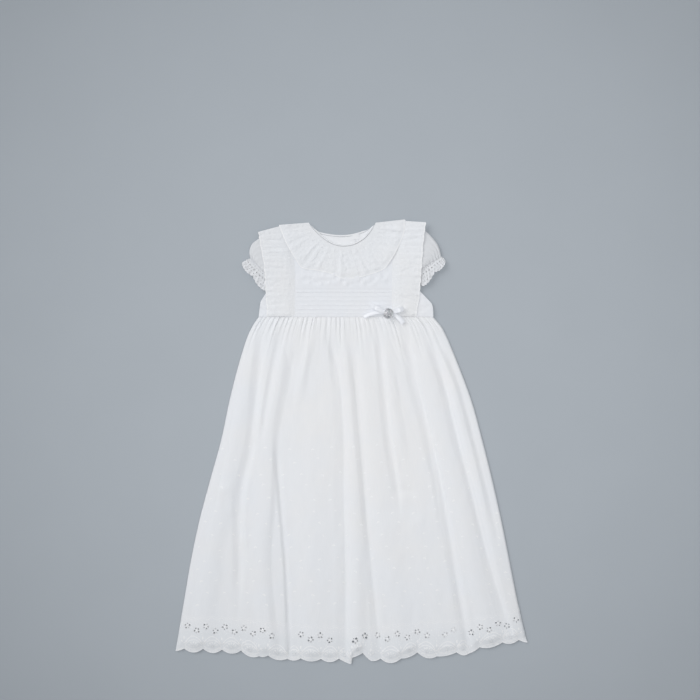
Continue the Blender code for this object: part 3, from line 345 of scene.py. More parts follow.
# Shoulder flounces: inner seam and outer edge at six heights from the shoulder to the waist
FlounceRow = namedtuple("FlounceRow", "inner_x inner_y outer_x outer_y lift")
FLOUNCE_LEFT = table(FlounceRow, [
    (-99.5, 302.5, -130.6, 293.9, 2.6), (-86.5, 272.0, -127.6, 273.0, 2.9),
    (-80.0, 248.0, -123.2, 249.0, 3.0), (-80.0, 224.0, -121.6, 224.0, 1.9),
    (-80.0, 200.0, -119.9, 200.0, 0.3), (-80.0, 176.0, -118.9, 175.5, 0.2),
])
FLOUNCE_RIGHT = table(FlounceRow, [
    (71.3, 309.5, 103.3, 307.4, 2.6), (62.5, 274.0, 99.5, 276.0, 2.9),
    (56.5, 252.0, 97.8, 252.0, 3.0), (56.0, 226.0, 96.2, 226.0, 1.9),
    (56.0, 200.0, 93.8, 200.0, 0.3), (56.0, 176.0, 89.7, 175.5, 0.2),
])
FLOUNCE_PLEATS = 15
FLOUNCE_WAVE = 0.8
HEADING_AT = 0.11

# Sleeves, from the armhole to the mouth: each ring's top, middle and underarm point,
# the height of its underside and its own height
SleeveRow = namedtuple("SleeveRow", "top_x top_y mid_x mid_y low_x low_y z high")
SLEEVE_LEFT = table(SleeveRow, [
    (-101.0, 297.0, -90.0, 256.0, -106.5, 223.0, 1.5, 3.2),
    (-115.0, 293.5, -104.0, 252.0, -109.5, 222.0, 1.5, 4.2),
    (-129.0, 285.5, -118.0, 250.0, -111.5, 222.0, 1.5, 5.2),
    (-140.0, 277.0, -127.5, 250.0, -113.0, 224.0, 0.9, 6.4),
    (-143.8, 266.0, -131.0, 247.5, -114.0, 226.5, 0.4, 6.4),
    (-142.6, 256.8, -130.5, 244.0, -114.5, 229.5, 0.3, 5.0),
])
SLEEVE_RIGHT = table(SleeveRow, [
    (76.0, 303.0, 64.0, 262.0, 82.0, 227.0, 1.5, 3.2),
    (90.0, 300.0, 79.0, 258.0, 85.0, 225.5, 1.5, 4.2),
    (102.5, 295.5, 92.0, 256.0, 87.0, 227.0, 1.5, 5.2),
    (113.0, 285.5, 101.0, 255.0, 89.0, 232.0, 0.9, 6.4),
    (121.3, 274.0, 107.0, 253.5, 91.0, 235.0, 0.4, 6.4),
    (125.2, 259.6, 109.5, 252.0, 93.0, 238.0, 0.3, 5.0),
])
CUFF_LEFT = table(SleeveRow, [
    (-142.0, 257.4, -129.9, 244.6, -114.0, 230.0, 0.6, 4.0),
    (-149.2, 253.6, -138.5, 235.0, -117.0, 219.5, 0.2, 5.8),
    (-155.2, 250.6, -146.0, 226.5, -120.0, 209.0, 0.0, 6.6),
])
CUFF_RIGHT = table(SleeveRow, [
    (124.4, 260.2, 108.9, 252.6, 92.6, 238.5, 0.6, 4.0),
    (129.0, 256.0, 116.0, 243.0, 95.5, 228.0, 0.2, 5.8),
    (131.8, 251.0, 120.5, 231.5, 97.5, 215.0, 0.0, 6.6),
])
CUFF_WAVES = 7
CUFF_WAVE = 1.4
SLEEVE_PUFFS = 9
SLEEVE_PUFF = 1.3

# Lace of the sleeve frills, drawn flat: its length, the way round it, and its rows of holes
LACE_LENGTH = 15.0
LACE_ROUND = 100.0
PICOTS = 28
PICOT_DEPTH = 0.8
LACE_LOBES = 4
LOBE_DEPTH = 4.2
LaceRow = namedtuple("LaceRow", "out radius count")
LACE_HOLE_ROWS = table(LaceRow, [
    (2.4, 0.6, 36), (5.4, 1.15, 26), (8.6, 0.75, 30), (11.4, 0.95, 28),
])

# Bow: the middle of the ribbon, point by point, with its underside's height
RibbonPoint = namedtuple("RibbonPoint", "x y z width")
BOW_X, BOW_Y = 50.8, 179.8
BOW_TAILS = table(RibbonPoint, [
    (15.5, 175.2, 7.0, 6.0), (26.0, 179.5, 6.9, 6.4), (38.0, 181.8, 6.6, 6.2),
    (47.0, 180.6, 6.3, 4.6), (54.0, 179.2, 6.9, 4.6), (61.0, 176.8, 7.7, 5.8),
    (67.5, 171.5, 7.5, 6.4), (72.0, 165.5, 7.0, 6.4),
])
BOW_LOOP_LEFT = table(RibbonPoint, [
    (50.3, 180.2, 7.9, 4.2), (40.0, 184.2, 8.4, 6.4), (30.5, 189.2, 8.9, 7.0),
    (27.6, 190.6, 10.0, 7.0), (30.5, 189.2, 11.2, 7.0), (40.0, 184.2, 10.9, 6.4),
    (50.3, 180.2, 9.3, 4.2),
])
BOW_LOOP_RIGHT = table(RibbonPoint, [
    (51.6, 180.2, 8.2, 4.2), (60.0, 182.6, 8.9, 6.2), (68.5, 185.3, 9.4, 6.8),
    (71.8, 186.2, 10.5, 6.8), (68.5, 185.3, 11.6, 6.8), (60.0, 182.6, 11.0, 6.2),
    (51.6, 180.2, 9.5, 4.2),
])
# Thickness of the ribbon, how far it cups and creases, and the slant of its cut ends
RIBBON_THICK = 0.4
RIBBON_CUP = 0.28
RIBBON_CREASE = 0.3
RIBBON_SLANT = 2.2

# The bow's button: the height of its back, and the rings of its cut stone
BUTTON_Z = 11.7
# Rings of the cut stone: radius, height, corners, and its turn in corners
FacetRing = namedtuple("FacetRing", "radius height count turn")
JEWEL_RINGS = table(FacetRing, [
    (6.2, 1.5, 16, 0.0), (6.0, 2.0, 16, 0.0), (4.3, 3.0, 8, 0.5), (2.6, 3.6, 8, 0.0),
])
JEWEL_TOP = 4.1
# The facets round the top point are painted darker than the others, as a painted reflection
MIDDLE_SHADE = 0.5
# Cross section of the setting, out from the middle and up; its widest part is milled
SETTING = [(5.0, 0.0), (6.8, 0.5), (7.0, 1.2), (6.9, 1.8), (6.5, 2.1), (6.1, 1.9), (5.9, 1.4)]
SETTING_SIDES = 56
MILLED_FROM = 6.5
MILLING = 0.018

# Small buttons of the back opening: their size, the dish in their face and their four holes
BACK_BUTTON_Y = [276.0, 236.0, 196.0]
BACK_BUTTON_RADIUS = 4.2
BACK_BUTTON_TOP = 1.2
BACK_BUTTON_DISH = 0.28
BACK_BUTTON_HOLE = 0.42
BACK_BUTTON_HOLE_AT = 0.8

# Light and camera in metres, with the lights' breadth in degrees and their power
LightRow = namedtuple("LightRow", "name kind x y z wide power")
LIGHTS = table(LightRow, [
    ("key from the upper left", "SUN", -0.66, 0.44, 0.61, 46.0, 1.15),
    ("fill from the right", "SUN", 0.80, -0.10, 0.60, 70.0, 0.25),
    ("overhead pool", "SPOT", 0.02, 0.16, 2.20, 52.0, 79.0),
])
POOL_SOFTNESS = 0.30
ROOM_LIGHT = 0.25
ROOM_COLOUR = "f2f5f8"
CAMERA_AT = (-0.0027, 0.1287, 2.318)
CAMERA_LENS = 85.0
CAMERA_FILM = 36.0
FLOOR_HALF = 3000.0
FLOOR_Z = -0.1

# Looks of the cloth: its fuzz and dullness, and painted warm light over it: a faint warm tint,
# strongest round the middle of the gown and in patches, whose size is in millimetres and whose
# middle and reach are in metres
COTTON_FUZZ = 0.12
COTTON_DULLNESS = 0.85
WARM_LIGHT_PATCH = 60.0
WARM_LIGHT_MIDDLE = (0.02, 0.04, 0.0)
WARM_LIGHT_REACH = (0.17, 0.24, 1.0)
# How much of their tint the stone's facets show, a painted reflection
TINT_SHARE = 0.22


# Curves and steps

def smooth_line(knots, values, at):
    """Reads a smooth curve through a few values; knots rise, and it runs straight past its ends."""
    knots = np.asarray(knots, float)
    values = np.asarray(values, float)
    at = np.asarray(at, float)
    slopes = np.gradient(values, knots)
    i = np.clip(np.searchsorted(knots, at, side="right") - 1, 0, len(knots) - 2)
    span = knots[i + 1] - knots[i]
    t = np.clip((at - knots[i]) / span, 0.0, 1.0)
    inside = (
        (1 + 2 * t) * (1 - t) ** 2 * values[i]
        + t * (1 - t) ** 2 * span * slopes[i]
        + t * t * (3 - 2 * t) * values[i + 1]
        + t * t * (t - 1) * span * slopes[i + 1]
    )
    below = np.minimum(at - knots[0], 0.0) * slopes[0]
    above = np.maximum(at - knots[-1], 0.0) * slopes[-1]
    return inside + below + above


def even(count):
    return np.linspace(0.0, 1.0, count)


def xyz(*axes):
    return np.stack(axes, axis=-1)


def lengths_along(points):
    """How far along a line each of its points lies."""
    return np.concatenate([[0.0], np.cumsum(np.linalg.norm(np.diff(points, axis=0), axis=1))])


def along_line(points, at):
    """Points at parts, 0 to 1, of the way along a smooth curve through the given ones."""
    points = np.asarray(points, float)
    reach = lengths_along(points)
    where = np.asarray(at, float) * reach[-1]
    return np.stack([smooth_line(reach, points[:, k], where) for k in range(points.shape[1])], -1)


def spread_points(points, count):
    return along_line(points, even(count))


def soft_step(value, low, high):
    t = np.clip((value - low) / (high - low), 0.0, 1.0)
    return t * t * (3 - 2 * t)


def ripples(x, y, crumple):
    """Small uneven waves, as in handled cotton: crests along Y that lean by chance."""
    chance = np.random.default_rng(crumple.seed)
    total = np.zeros_like(np.asarray(x, float))
    for _ in range(CRUMPLE_WAVES):
        length = chance.uniform(crumple.shortest, crumple.longest)
        turn = chance.normal(0.0, crumple.lean)
        phase = chance.uniform(0.0, 2 * math.pi)
        way = x * math.cos(turn) + y * math.sin(turn)
        total += np.sin(2 * math.pi * way / length + phase) * length / crumple.longest
    return crumple.height * (total / math.sqrt(CRUMPLE_WAVES))


# Meshes

def add_object(name, data):
    made = bpy.data.objects.new(name, data)
    bpy.context.scene.collection.objects.link(made)
    return made


def make_piece(name, points, faces, material, uv=None, crease=55.0):
    """A finished mesh from points in millimetres, its faces turned outwards."""
    mesh = bpy.data.meshes.new(name)
    mesh.from_pydata((np.asarray(points, float) * MM).tolist(), [], faces)
    if uv is not None:
        corner = np.zeros(len(mesh.loops), np.int32)
        mesh.loops.foreach_get("vertex_index", corner)
        layer = mesh.uv_layers.new(name="cloth")
        flat = (np.asarray(uv, float) * MM)[corner]
        layer.data.foreach_set("uv", flat.astype(np.float32).ravel())
    shape = bmesh.new()
    shape.from_mesh(mesh)
    bmesh.ops.recalc_face_normals(shape, faces=shape.faces)
    shape.to_mesh(mesh)
    shape.free()
    mesh.materials.append(material)
    if crease:
        mesh.shade_smooth()
        mesh.set_sharp_from_angle(angle=math.radians(crease))
    return add_object(name, mesh)


def give_values(piece, name, domain, values):
    field = piece.data.attributes.new(name, "FLOAT", domain)
    field.data.foreach_set("value", values.astype(np.float32))


def grid_faces(rows, columns, start=0, around=False):
    """Quads of a grid of points; around joins the last column to the first."""
    faces = []
    for r in range(rows - 1):
        for c in range(columns if around else columns - 1):
            a = start + r * columns + c
            b = start + r * columns + (c + 1) % columns
            faces.append((a, a + columns, b + columns, b))
    return faces


def shell_from_grid(name, outer, inner, material, around=False):
    """A closed thin shell between two grids of points, rows by columns by XYZ."""
    rows, columns = outer.shape[:2]
    count = rows * columns
    points = np.concatenate([outer.reshape(-1, 3), inner.reshape(-1, 3)])
    faces = grid_faces(rows, columns, 0, around)
    faces += [tuple(reversed(f)) for f in grid_faces(rows, columns, count, around)]
    if around:
        for r in (0, rows - 1):
            for c in range(columns):
                a, b = r * columns + c, r * columns + (c + 1) % columns
                faces.append((a, b, count + b, count + a))
    else:
        rim = list(range(columns))
        rim += [r * columns + columns - 1 for r in range(1, rows)]
        rim += [(rows - 1) * columns + c for c in range(columns - 2, -1, -1)]
        rim += [r * columns for r in range(rows - 2, 0, -1)]
        faces += [(a, b, count + b, count + a) for a, b in zip(rim, rim[1:] + rim[:1])]
    across = np.linalg.norm(np.diff(outer, axis=1), axis=2).mean(axis=0)
    down = np.linalg.norm(np.diff(outer, axis=0), axis=2).mean(axis=1)
    u = np.concatenate([[0.0], np.cumsum(across)])
    v = np.concatenate([[0.0], np.cumsum(down)])
    flat = np.stack(np.meshgrid(u, -v), axis=2).reshape(-1, 2)
    return make_piece(name, points, faces, material, np.tile(flat, (2, 1)))


def laid_shell(name, x, y, top, material, thick=BATISTE_THICK):
    """A thin shell that lies flat, its face at the given heights."""
    outer = xyz(x, y, top)
    return shell_from_grid(name, outer, outer - np.array([0.0, 0.0, thick]), material)


def inside_outline(points, outline):
    """Which points lie inside a closed outline."""
    x, y = points[:, 0:1], points[:, 1:2]
    ax, ay = outline[:, 0], outline[:, 1]
    bx, by = np.roll(ax, -1), np.roll(ay, -1)
    crosses = (ay > y) != (by > y)
    safe = np.where(np.abs(by - ay) < 1e-9, 1e-9, by - ay)
    hit = crosses & (x < (bx - ax) * (y - ay) / safe + ax)
    return hit.sum(axis=1) % 2 == 1


def hole_outline(hole, sides):
    turn = 2 * np.pi * np.arange(sides) / sides
    return xyz(hole.x + hole.radius * np.cos(turn), hole.y + hole.radius * np.sin(turn))


Hole = namedtuple("Hole", "x y radius")
Cut = namedtuple("Cut", "points faces rim")


def cut_cloth(outline, holes, spacing, sides=10):
    """Cuts a flat piece with real holes: its points, triangles and the edges of its rims."""
    outline = np.asarray(outline, float)
    loops = [outline] + [hole_outline(hole, sides) for hole in holes]
    low, high = outline.min(axis=0), outline.max(axis=0)
    across = np.arange(low[0] + spacing / 2, high[0], spacing)
    up = np.arange(low[1] + spacing / 2, high[1], spacing)
    grid = np.stack(np.meshgrid(across, up), axis=2)
    grid[1::2, :, 0] += spacing / 2
    grid = grid.reshape(-1, 2)
    grid = grid[inside_outline(grid, outline)]
    edge = np.concatenate(loops)
    far = np.ones(len(grid), bool)
    for part in np.array_split(np.arange(len(grid)), max(1, len(grid) // 400)):
        away = np.linalg.norm(grid[part][:, None, :] - edge[None, :, :], axis=2)
        far[part] = away.min(axis=1) > 0.4 * spacing
    for hole in holes:
        far &= np.hypot(grid[:, 0] - hole.x, grid[:, 1] - hole.y) > hole.radius
    points, edges = [], []
    for loop in loops:
        first = len(points)
        points += [tuple(p) for p in loop]
        edges += [(first + k, first + (k + 1) % len(loop)) for k in range(len(loop))]
    points += [tuple(p) for p in grid[far]]
    made = delaunay_2d_cdt(points, edges, [], 0, 1e-6)
    flat = np.array([tuple(v) for v in made[0]])
    faces = np.array([tuple(f) for f in made[2]])
    middle = flat[faces].mean(axis=1)
    keep = inside_outline(middle, outline)
    for hole in holes:
        keep &= np.hypot(middle[:, 0] - hole.x, middle[:, 1] - hole.y) > hole.radius * 0.98
    faces = faces[keep]
    directed = {}
    for face in faces.tolist():
        for a, b in zip(face, face[1:] + face[:1]):
            directed[(a, b)] = True
    rim = [pair for pair in directed if (pair[1], pair[0]) not in directed]
    used = np.unique(faces)
    new_number = np.full(len(flat), -1)
    new_number[used] = np.arange(len(used))
    rim = [(int(new_number[a]), int(new_number[b])) for a, b in rim]
    return Cut(flat[used], new_number[faces], rim)


def shell_from_cut(name, cut, outer, inner, material):
    """A closed thin shell from a cut piece and its outer and inner points."""
    count = len(cut.points)
    faces = [tuple(f) for f in cut.faces.tolist()]
    faces += [(count + c, count + b, count + a) for a, b, c in cut.faces.tolist()]
    faces += [(b, a, count + a, count + b) for a, b in cut.rim]
    uv = np.tile(cut.points, (2, 1))
    return make_piece(name, np.concatenate([outer, inner]), faces, material, uv)


def lay_cut(name, cut, top, material, thick=BATISTE_THICK):
    """Lays a cut piece flat, its face at the heights that top gives for each point."""
    x, y = cut.points[:, 0], cut.points[:, 1]
    outer = xyz(x, y, top(x, y))
    return shell_from_cut(name, cut, outer, outer - np.array([0.0, 0.0, thick]), material)


# Nodes

def add_node(tree, kind, inputs=None, **settings):
    """Adds a node with its settings, and fills its inputs with values or other nodes' outputs."""
    node = tree.nodes.new(kind)
    for key, value in settings.items():
        setattr(node, key, value)
    for key, value in (inputs or {}).items():
        if isinstance(value, bpy.types.NodeSocket):
            tree.links.new(value, node.inputs[key])
        else:
            node.inputs[key].default_value = value
    return node


def from_hex(code):
    """An sRGB colour, such as e4e6e9, as linear values."""
    parts = [int(code[i:i + 2], 16) / 255 for i in (0, 2, 4)]
    linear = [v / 12.92 if v <= 0.04045 else ((v + 0.055) / 1.055) ** 2.4 for v in parts]
    return (*linear, 1.0)


def new_material(name, **constants):
    """A material with one Principled shader, whose constant values sit on its own sockets."""
    material = bpy.data.materials.new(name)
    material.use_nodes = True
    tree = material.node_tree
    tree.nodes.clear()
    shader = add_node(tree, "ShaderNodeBsdfPrincipled")
    for socket, value in constants.items():
        shader.inputs[socket.replace("_", " ")].default_value = value
    add_node(tree, "ShaderNodeOutputMaterial", {"Surface": shader.outputs["BSDF"]})
    return material, tree, shader


def mix_colours(tree, factor, first, second):
    """Mixes two colours, each a hex code or the output of another node."""
    first, second = (from_hex(c) if isinstance(c, str) else c for c in (first, second))
    return add_node(tree, "ShaderNodeMix", {0: factor, 6: first, 7: second},
                    data_type="RGBA").outputs[2]


def math_node(tree, operation, *values, **settings):
    return add_node(tree, "ShaderNodeMath", dict(enumerate(values)), operation=operation,
                    **settings).outputs[0]


def own_place(tree):
    return add_node(tree, "ShaderNodeTexCoord").outputs["Object"]


def cloth_place(tree, stretch=None):
    """Place on the flat cut cloth, stretched where the pattern runs along its threads."""
    place = add_node(tree, "ShaderNodeUVMap", uv_map="cloth").outputs["UV"]
    if stretch:
        place = add_node(tree, "ShaderNodeMapping", {"Vector": place, "Scale": stretch}).outputs[0]
    return place


def noise(tree, place, scale, **inputs):
    return add_node(tree, "ShaderNodeTexNoise",
                    {"Vector": place, "Scale": scale, **inputs}).outputs["Fac"]


def threads(tree, place, pitch_mm, direction, **inputs):
    """Bands at this pitch, on coordinates in metres."""
    scale = 2 * math.pi / 20 / (pitch_mm * MM)
    return add_node(tree, "ShaderNodeTexWave", {"Vector": place, "Scale": scale, **inputs},
                    wave_type="BANDS", bands_direction=direction).outputs["Fac"]


def bump(tree, height, depth_mm, **inputs):
    return add_node(tree, "ShaderNodeBump",
                    {"Height": height, "Distance": depth_mm * MM, **inputs}).outputs["Normal"]


def set_looks(tree, shader, colour, dullness, relief=None):
    tree.links.new(colour, shader.inputs["Base Color"])
    tree.links.new(dullness, shader.inputs["Roughness"])
    if relief:
        tree.links.new(relief, shader.inputs["Normal"])


def woven_cotton(name, light, dark, warm_light_colour, thread_mm, crinkle_mm, crinkle_depth, painted_shade=None):
    """Plain woven cotton: crossing threads, uneven slubs, a handled crinkle and painted warm light.

    Where a colour of painted shade is given, the attribute of that name says where it goes."""
    material, tree, shader = new_material(name, Sheen_Weight=COTTON_FUZZ, Sheen_Roughness=0.5,
                                          IOR=1.47)
    place = cloth_place(tree)
    thread_wander = {"Distortion": 1.5, "Detail": 1.0, "Detail Scale": 0.3}
    warp, weft = (threads(tree, place, thread_mm, way, **thread_wander) for way in "XY")
    weave = math_node(tree, "MULTIPLY", warp, weft)
    slub = noise(tree, cloth_place(tree, (700.0, 60.0, 1.0)), 1.0, Detail=2.0)
    crinkle = noise(tree, place, 1 / (crinkle_mm * MM), Detail=3.0, Roughness=0.55)
    tone = math_node(tree, "MULTIPLY_ADD", weave, 0.35,
                     math_node(tree, "MULTIPLY_ADD", slub, 0.5, 0.25))
    # Painted warm light: warmer in an oval round the middle of the gown and in uneven patches
    own = own_place(tree)
    warm_light_place = add_node(tree, "ShaderNodeMapping",
                           {"Vector": own, "Location": WARM_LIGHT_MIDDLE, "Scale": WARM_LIGHT_REACH},
                           vector_type="TEXTURE").outputs[0]
    painted_warm_light = add_node(tree, "ShaderNodeTexGradient", {"Vector": warm_light_place},
                     gradient_type="SPHERICAL").outputs["Fac"]
    warm_light_patches = add_node(tree, "ShaderNodeMapRange",
                     {"Value": noise(tree, own, 1 / (WARM_LIGHT_PATCH * MM), Detail=2.0),
                      "From Min": 0.4, "From Max": 0.7, "To Max": 0.6}).outputs["Result"]
    painted_warm_light = math_node(tree, "ADD", painted_warm_light, warm_light_patches, use_clamp=True)
    colour = mix_colours(tree, tone, dark, mix_colours(tree, painted_warm_light, light, warm_light_colour))
    # Painted shade among the border's stitches, darker towards its scallops
    if painted_shade:
        share = add_node(tree, "ShaderNodeAttribute", attribute_name="painted_shade").outputs["Fac"]
        colour = mix_colours(tree, share, colour, painted_shade)
    fine = bump(tree, weave, 0.05, Strength=0.5)
    set_looks(tree, shader, colour, math_node(tree, "MULTIPLY_ADD", crinkle, 0.1, COTTON_DULLNESS),
              bump(tree, crinkle, crinkle_depth, Normal=fine, Strength=1.0))
    return material


def twisted_thread(name, light, dark, twist_mm, roughness, sheen):
    """Embroidery thread: a fine slanting twist, a little brighter than the cloth."""
    material, tree, shader = new_material(name, Sheen_Weight=sheen, IOR=1.5)
    twist = threads(tree, own_place(tree), twist_mm, "DIAGONAL", Distortion=0.6)
    set_looks(tree, shader, mix_colours(tree, twist, dark, light),
              math_node(tree, "MULTIPLY_ADD", twist, -0.12, roughness), bump(tree, twist, 0.06))
    return material


def woven_satin(name, light, dark, float_mm):
    """Satin ribbon: long floating threads that run along it and give a streaky gloss."""
    material, tree, shader = new_material(name, Anisotropic=0.6, Sheen_Weight=0.1, IOR=1.55)
    streak = noise(tree, cloth_place(tree, (1 / (float_mm * MM), 40.0, 1.0)), 1.0, Detail=2.0)
    set_looks(tree, shader, mix_colours(tree, streak, dark, light),
              math_node(tree, "MULTIPLY_ADD", streak, 0.14, 0.26), bump(tree, streak, 0.05))
    return material


def foiled_glass(name, darkest, lightest, sea, rose):
    """Cut glass over silver foil: painted reflections give every facet its own grey, a few tinted.
    """
    material, tree, shader = new_material(name, Metallic=0.2, Coat_Weight=0.3, Coat_Roughness=0.2)
    facet, tint = (add_node(tree, "ShaderNodeAttribute", attribute_name=label).outputs["Fac"]
                   for label in ("facet", "tint"))
    colour = mix_colours(tree, TINT_SHARE, mix_colours(tree, facet, darkest, lightest),
                         mix_colours(tree, tint, sea, rose))
    haze = noise(tree, own_place(tree), 1 / (1.5 * MM))
    set_looks(tree, shader, colour, math_node(tree, "MULTIPLY_ADD", haze, 0.15, 0.25))
    return material


def clouded(name, light, dark, cloud_mm, dullness, cloud, **constants):
    """A smooth, hard material with a faint cloud in its colour and its gloss."""
    material, tree, shader = new_material(name, **constants)
    haze = noise(tree, own_place(tree), 1 / (cloud_mm * MM), **cloud)
    set_looks(tree, shader, mix_colours(tree, haze, dark, light),
              math_node(tree, "MULTIPLY_ADD", haze, 0.15, dullness))
    return material


def painted_paper(name, light, dark):
    """Matt studio floor with the faintest mottle."""
    material, tree, shader = new_material(name, IOR=1.45, Roughness=0.9)
    mottle = noise(tree, own_place(tree), 9.0, Detail=4.0)
    tree.links.new(mix_colours(tree, mottle, dark, light), shader.inputs["Base Color"])
    return material


# Threads of real batiste lie about 0.3 mm apart, which no pixel shows, so the weave is drawn
# at 1 mm. It reads as soft, matt, closely woven cotton with a slight crinkle.
BATISTE = woven_cotton("Cotton batiste, plain woven", "f2f4f8", "e8ebef", "f6f5f5", 1.0, 5.0, 0.10)
# The tucked panel and yoke of the same cotton, a little greyer and bluer: painted shade
BODICE_CLOTH = woven_cotton("Cotton batiste, with painted shade", "f0f3f8", "e7eaf0", "f3f3f5",
                            1.0, 3.0, 0.16)
# Frills of the same cotton, washed and crinkled: small uneven pits between many fine ridges
CRINKLED = woven_cotton("Cotton batiste, crinkled", "f2f4f8", "e6e9ed", "f6f5f5", 1.0, 2.2, 0.55)
# The same cotton under the embroidery, with painted shade between its close stitches, darker
# towards the scallops
BORDER_CLOTH = woven_cotton("Cotton batiste, embroidered", "f2f4f8", "e8ebef", "f6f5f5",
                            1.0, 3.0, 0.12, painted_shade="eaedf1")
# One thickness of batiste over the floor, greyed partly by the floor showing through and partly
# by painted shade of the gap inside the sleeve
SHEER = woven_cotton("Cotton batiste, single and sheer", "e5e7eb", "d7dade", "e9e9ea",
                     1.0, 3.0, 0.35)
# Fine cotton lace: dense and dull, with an open look from its holes
LACE = woven_cotton("Cotton lace, machine made", "ebedf1", "d8dbe0", "eeeeee", 1.2, 2.2, 0.16)
# Embroidery cotton, mercerised: its twist catches small highlights
THREAD = twisted_thread("Embroidery cotton, mercerised", "fcfcfd", "f1f3f6", 0.6, 0.46, 0.15)
# Polyester satin: bright, streaky gloss along the ribbon
SATIN = woven_satin("Polyester satin ribbon, woven", "eff1f6", "e3e6ed", 0.35)
# Cut glass on foil: hard little mirrors, each facet painted a different grey, a painted
# reflection
JEWEL = foiled_glass("Cut glass, foil backed", "92969e", "f6f7f9", "8fb0ae", "c8a9b6")
# Shirt buttons of cast resin: a pearly, glossy white
PEARL = clouded("Cast resin, pearly", "f2f2ee", "dfdfdb", 3.0, 0.22, {"Distortion": 1.5},
                Coat_Weight=0.4, Coat_Roughness=0.15, IOR=1.53)
# Nickel plate over a stamped rim: a thin bright ring round the stone
SILVER = clouded("Nickel plate, brushed", "f0f1f3", "dcdfe3", 2.0, 0.35, {"Detail": 3.0},
                 Metallic=1.0)
FLOOR = painted_paper("Backdrop paper, matt", "b4bbc2", "b0b7be")


# Embroidery trees

PLACE_FIELDS = (("along", "FLOAT_VECTOR"), ("up", "FLOAT_VECTOR"), ("size", "FLOAT"))


def new_tree(name, sizes):
    """A geometry tree with a named input for each size, its seed and its thread."""
    tree = bpy.data.node_groups.new(name, "GeometryNodeTree")
    face = tree.interface
    face.new_socket("Places", in_out="INPUT", socket_type="NodeSocketGeometry")
    for label, value in sizes.items():
        socket = face.new_socket(label, in_out="INPUT", socket_type="NodeSocketFloat")
        socket.default_value = value
    face.new_socket("Seed", in_out="INPUT", socket_type="NodeSocketInt")
    face.new_socket("Thread", in_out="INPUT", socket_type="NodeSocketMaterial")
    face.new_socket("Embroidery", in_out="OUTPUT", socket_type="NodeSocketGeometry")
    return tree, add_node(tree, "NodeGroupInput").outputs


def set_out(tree, given, stitch, smooth=False):
    """Sets one stitch at each place, turned to the cloth and a little uneven, as plain mesh."""
    along, up, size = (add_node(tree, "GeometryNodeInputNamedAttribute", {"Name": label},
                                data_type=kind).outputs["Attribute"]
                       for label, kind in PLACE_FIELDS)
    turned = add_node(tree, "FunctionNodeAlignRotationToVector", {"Vector": along}, axis="X")
    upright = add_node(tree, "FunctionNodeAlignRotationToVector",
                       {"Rotation": turned.outputs[0], "Vector": up}, axis="Z", pivot_axis="X")
    uneven = add_node(tree, "FunctionNodeRandomValue",
                      {2: 1.0 - UNEVEN, 3: 1.0 + UNEVEN, "Seed": given["Seed"]},
                      data_type="FLOAT").outputs[1]
    scale = math_node(tree, "MULTIPLY", size, uneven)
    shaded = add_node(tree, "GeometryNodeSetShadeSmooth",
                      {"Geometry": stitch, "Shade Smooth": smooth}).outputs[0]
    placed = add_node(tree, "GeometryNodeInstanceOnPoints",
                      {"Points": given["Places"], "Instance": shaded,
                       "Rotation": upright.outputs[0], "Scale": scale}).outputs[0]
    real = add_node(tree, "GeometryNodeRealizeInstances", {"Geometry": placed}).outputs[0]
    done = add_node(tree, "GeometryNodeSetMaterial",
                    {"Geometry": real, "Material": given["Thread"]}).outputs[0]
    add_node(tree, "NodeGroupOutput", {"Embroidery": done})
    return tree


def stretched_bead(tree, length, width, height):
    """A flat pad of thread: a coarse ball pressed to its size, its facets left sharp."""
    ball = add_node(tree, "GeometryNodeMeshIcoSphere",
                    {"Radius": 0.5, "Subdivisions": 1}).outputs[0]
    size = add_node(tree, "ShaderNodeCombineXYZ", {0: length, 1: width, 2: height}).outputs[0]
    return add_node(tree, "GeometryNodeTransform", {"Geometry": ball, "Scale": size}).outputs[0]


def stitch_tree():
    """Single stitches that lie along the line they follow."""
    tree, given = new_tree("Stitches", {"Length": 1.0, "Width": 1.0, "Height": 1.0})
    bead = stretched_bead(tree, given["Length"], given["Width"], given["Height"])
    return set_out(tree, given, bead)


def rim_tree():
    """Overcast rims of eyelets; each is sized by its own hole."""
    tree, given = new_tree("Eyelet rims", {"Ring": 1.0, "Roll": 0.3})
    path = add_node(tree, "GeometryNodeCurvePrimitiveCircle",
                    {"Resolution": 10, "Radius": given["Ring"]}).outputs[0]
    roll = add_node(tree, "GeometryNodeCurvePrimitiveCircle",
                    {"Resolution": 6, "Radius": given["Roll"]}).outputs[0]
    ring = add_node(tree, "GeometryNodeCurveToMesh", {"Curve": path, "Profile Curve": roll})
    return set_out(tree, given, ring.outputs[0], smooth=True)


def sprig_tree():
    """Sprigs of three satin-stitched leaves that fan out from one foot."""
    tree, given = new_tree("Sprigs", {"Leaf length": 1.0, "Leaf width": 0.5, "Leaf height": 0.3})
    leaf = stretched_bead(tree, given["Leaf length"], given["Leaf width"], given["Leaf height"])
    reach = math_node(tree, "MULTIPLY", given["Leaf length"], LEAF_REACH)
    out = add_node(tree, "ShaderNodeCombineXYZ", {0: reach}).outputs[0]
    leaf = add_node(tree, "GeometryNodeTransform",
                    {"Geometry": leaf, "Translation": out}).outputs[0]
    join = add_node(tree, "GeometryNodeJoinGeometry")
    for angle in LEAF_ANGLES:
        turned = add_node(tree, "GeometryNodeTransform",
                          {"Geometry": leaf, "Rotation": (0.0, 0.0, math.radians(angle))})
        tree.links.new(turned.outputs[0], join.inputs[0])
    return set_out(tree, given, join.outputs[0])


STITCHES = stitch_tree()
RIMS = rim_tree()
SPRIGS = sprig_tree()

Places = namedtuple("Places", "points along up size")


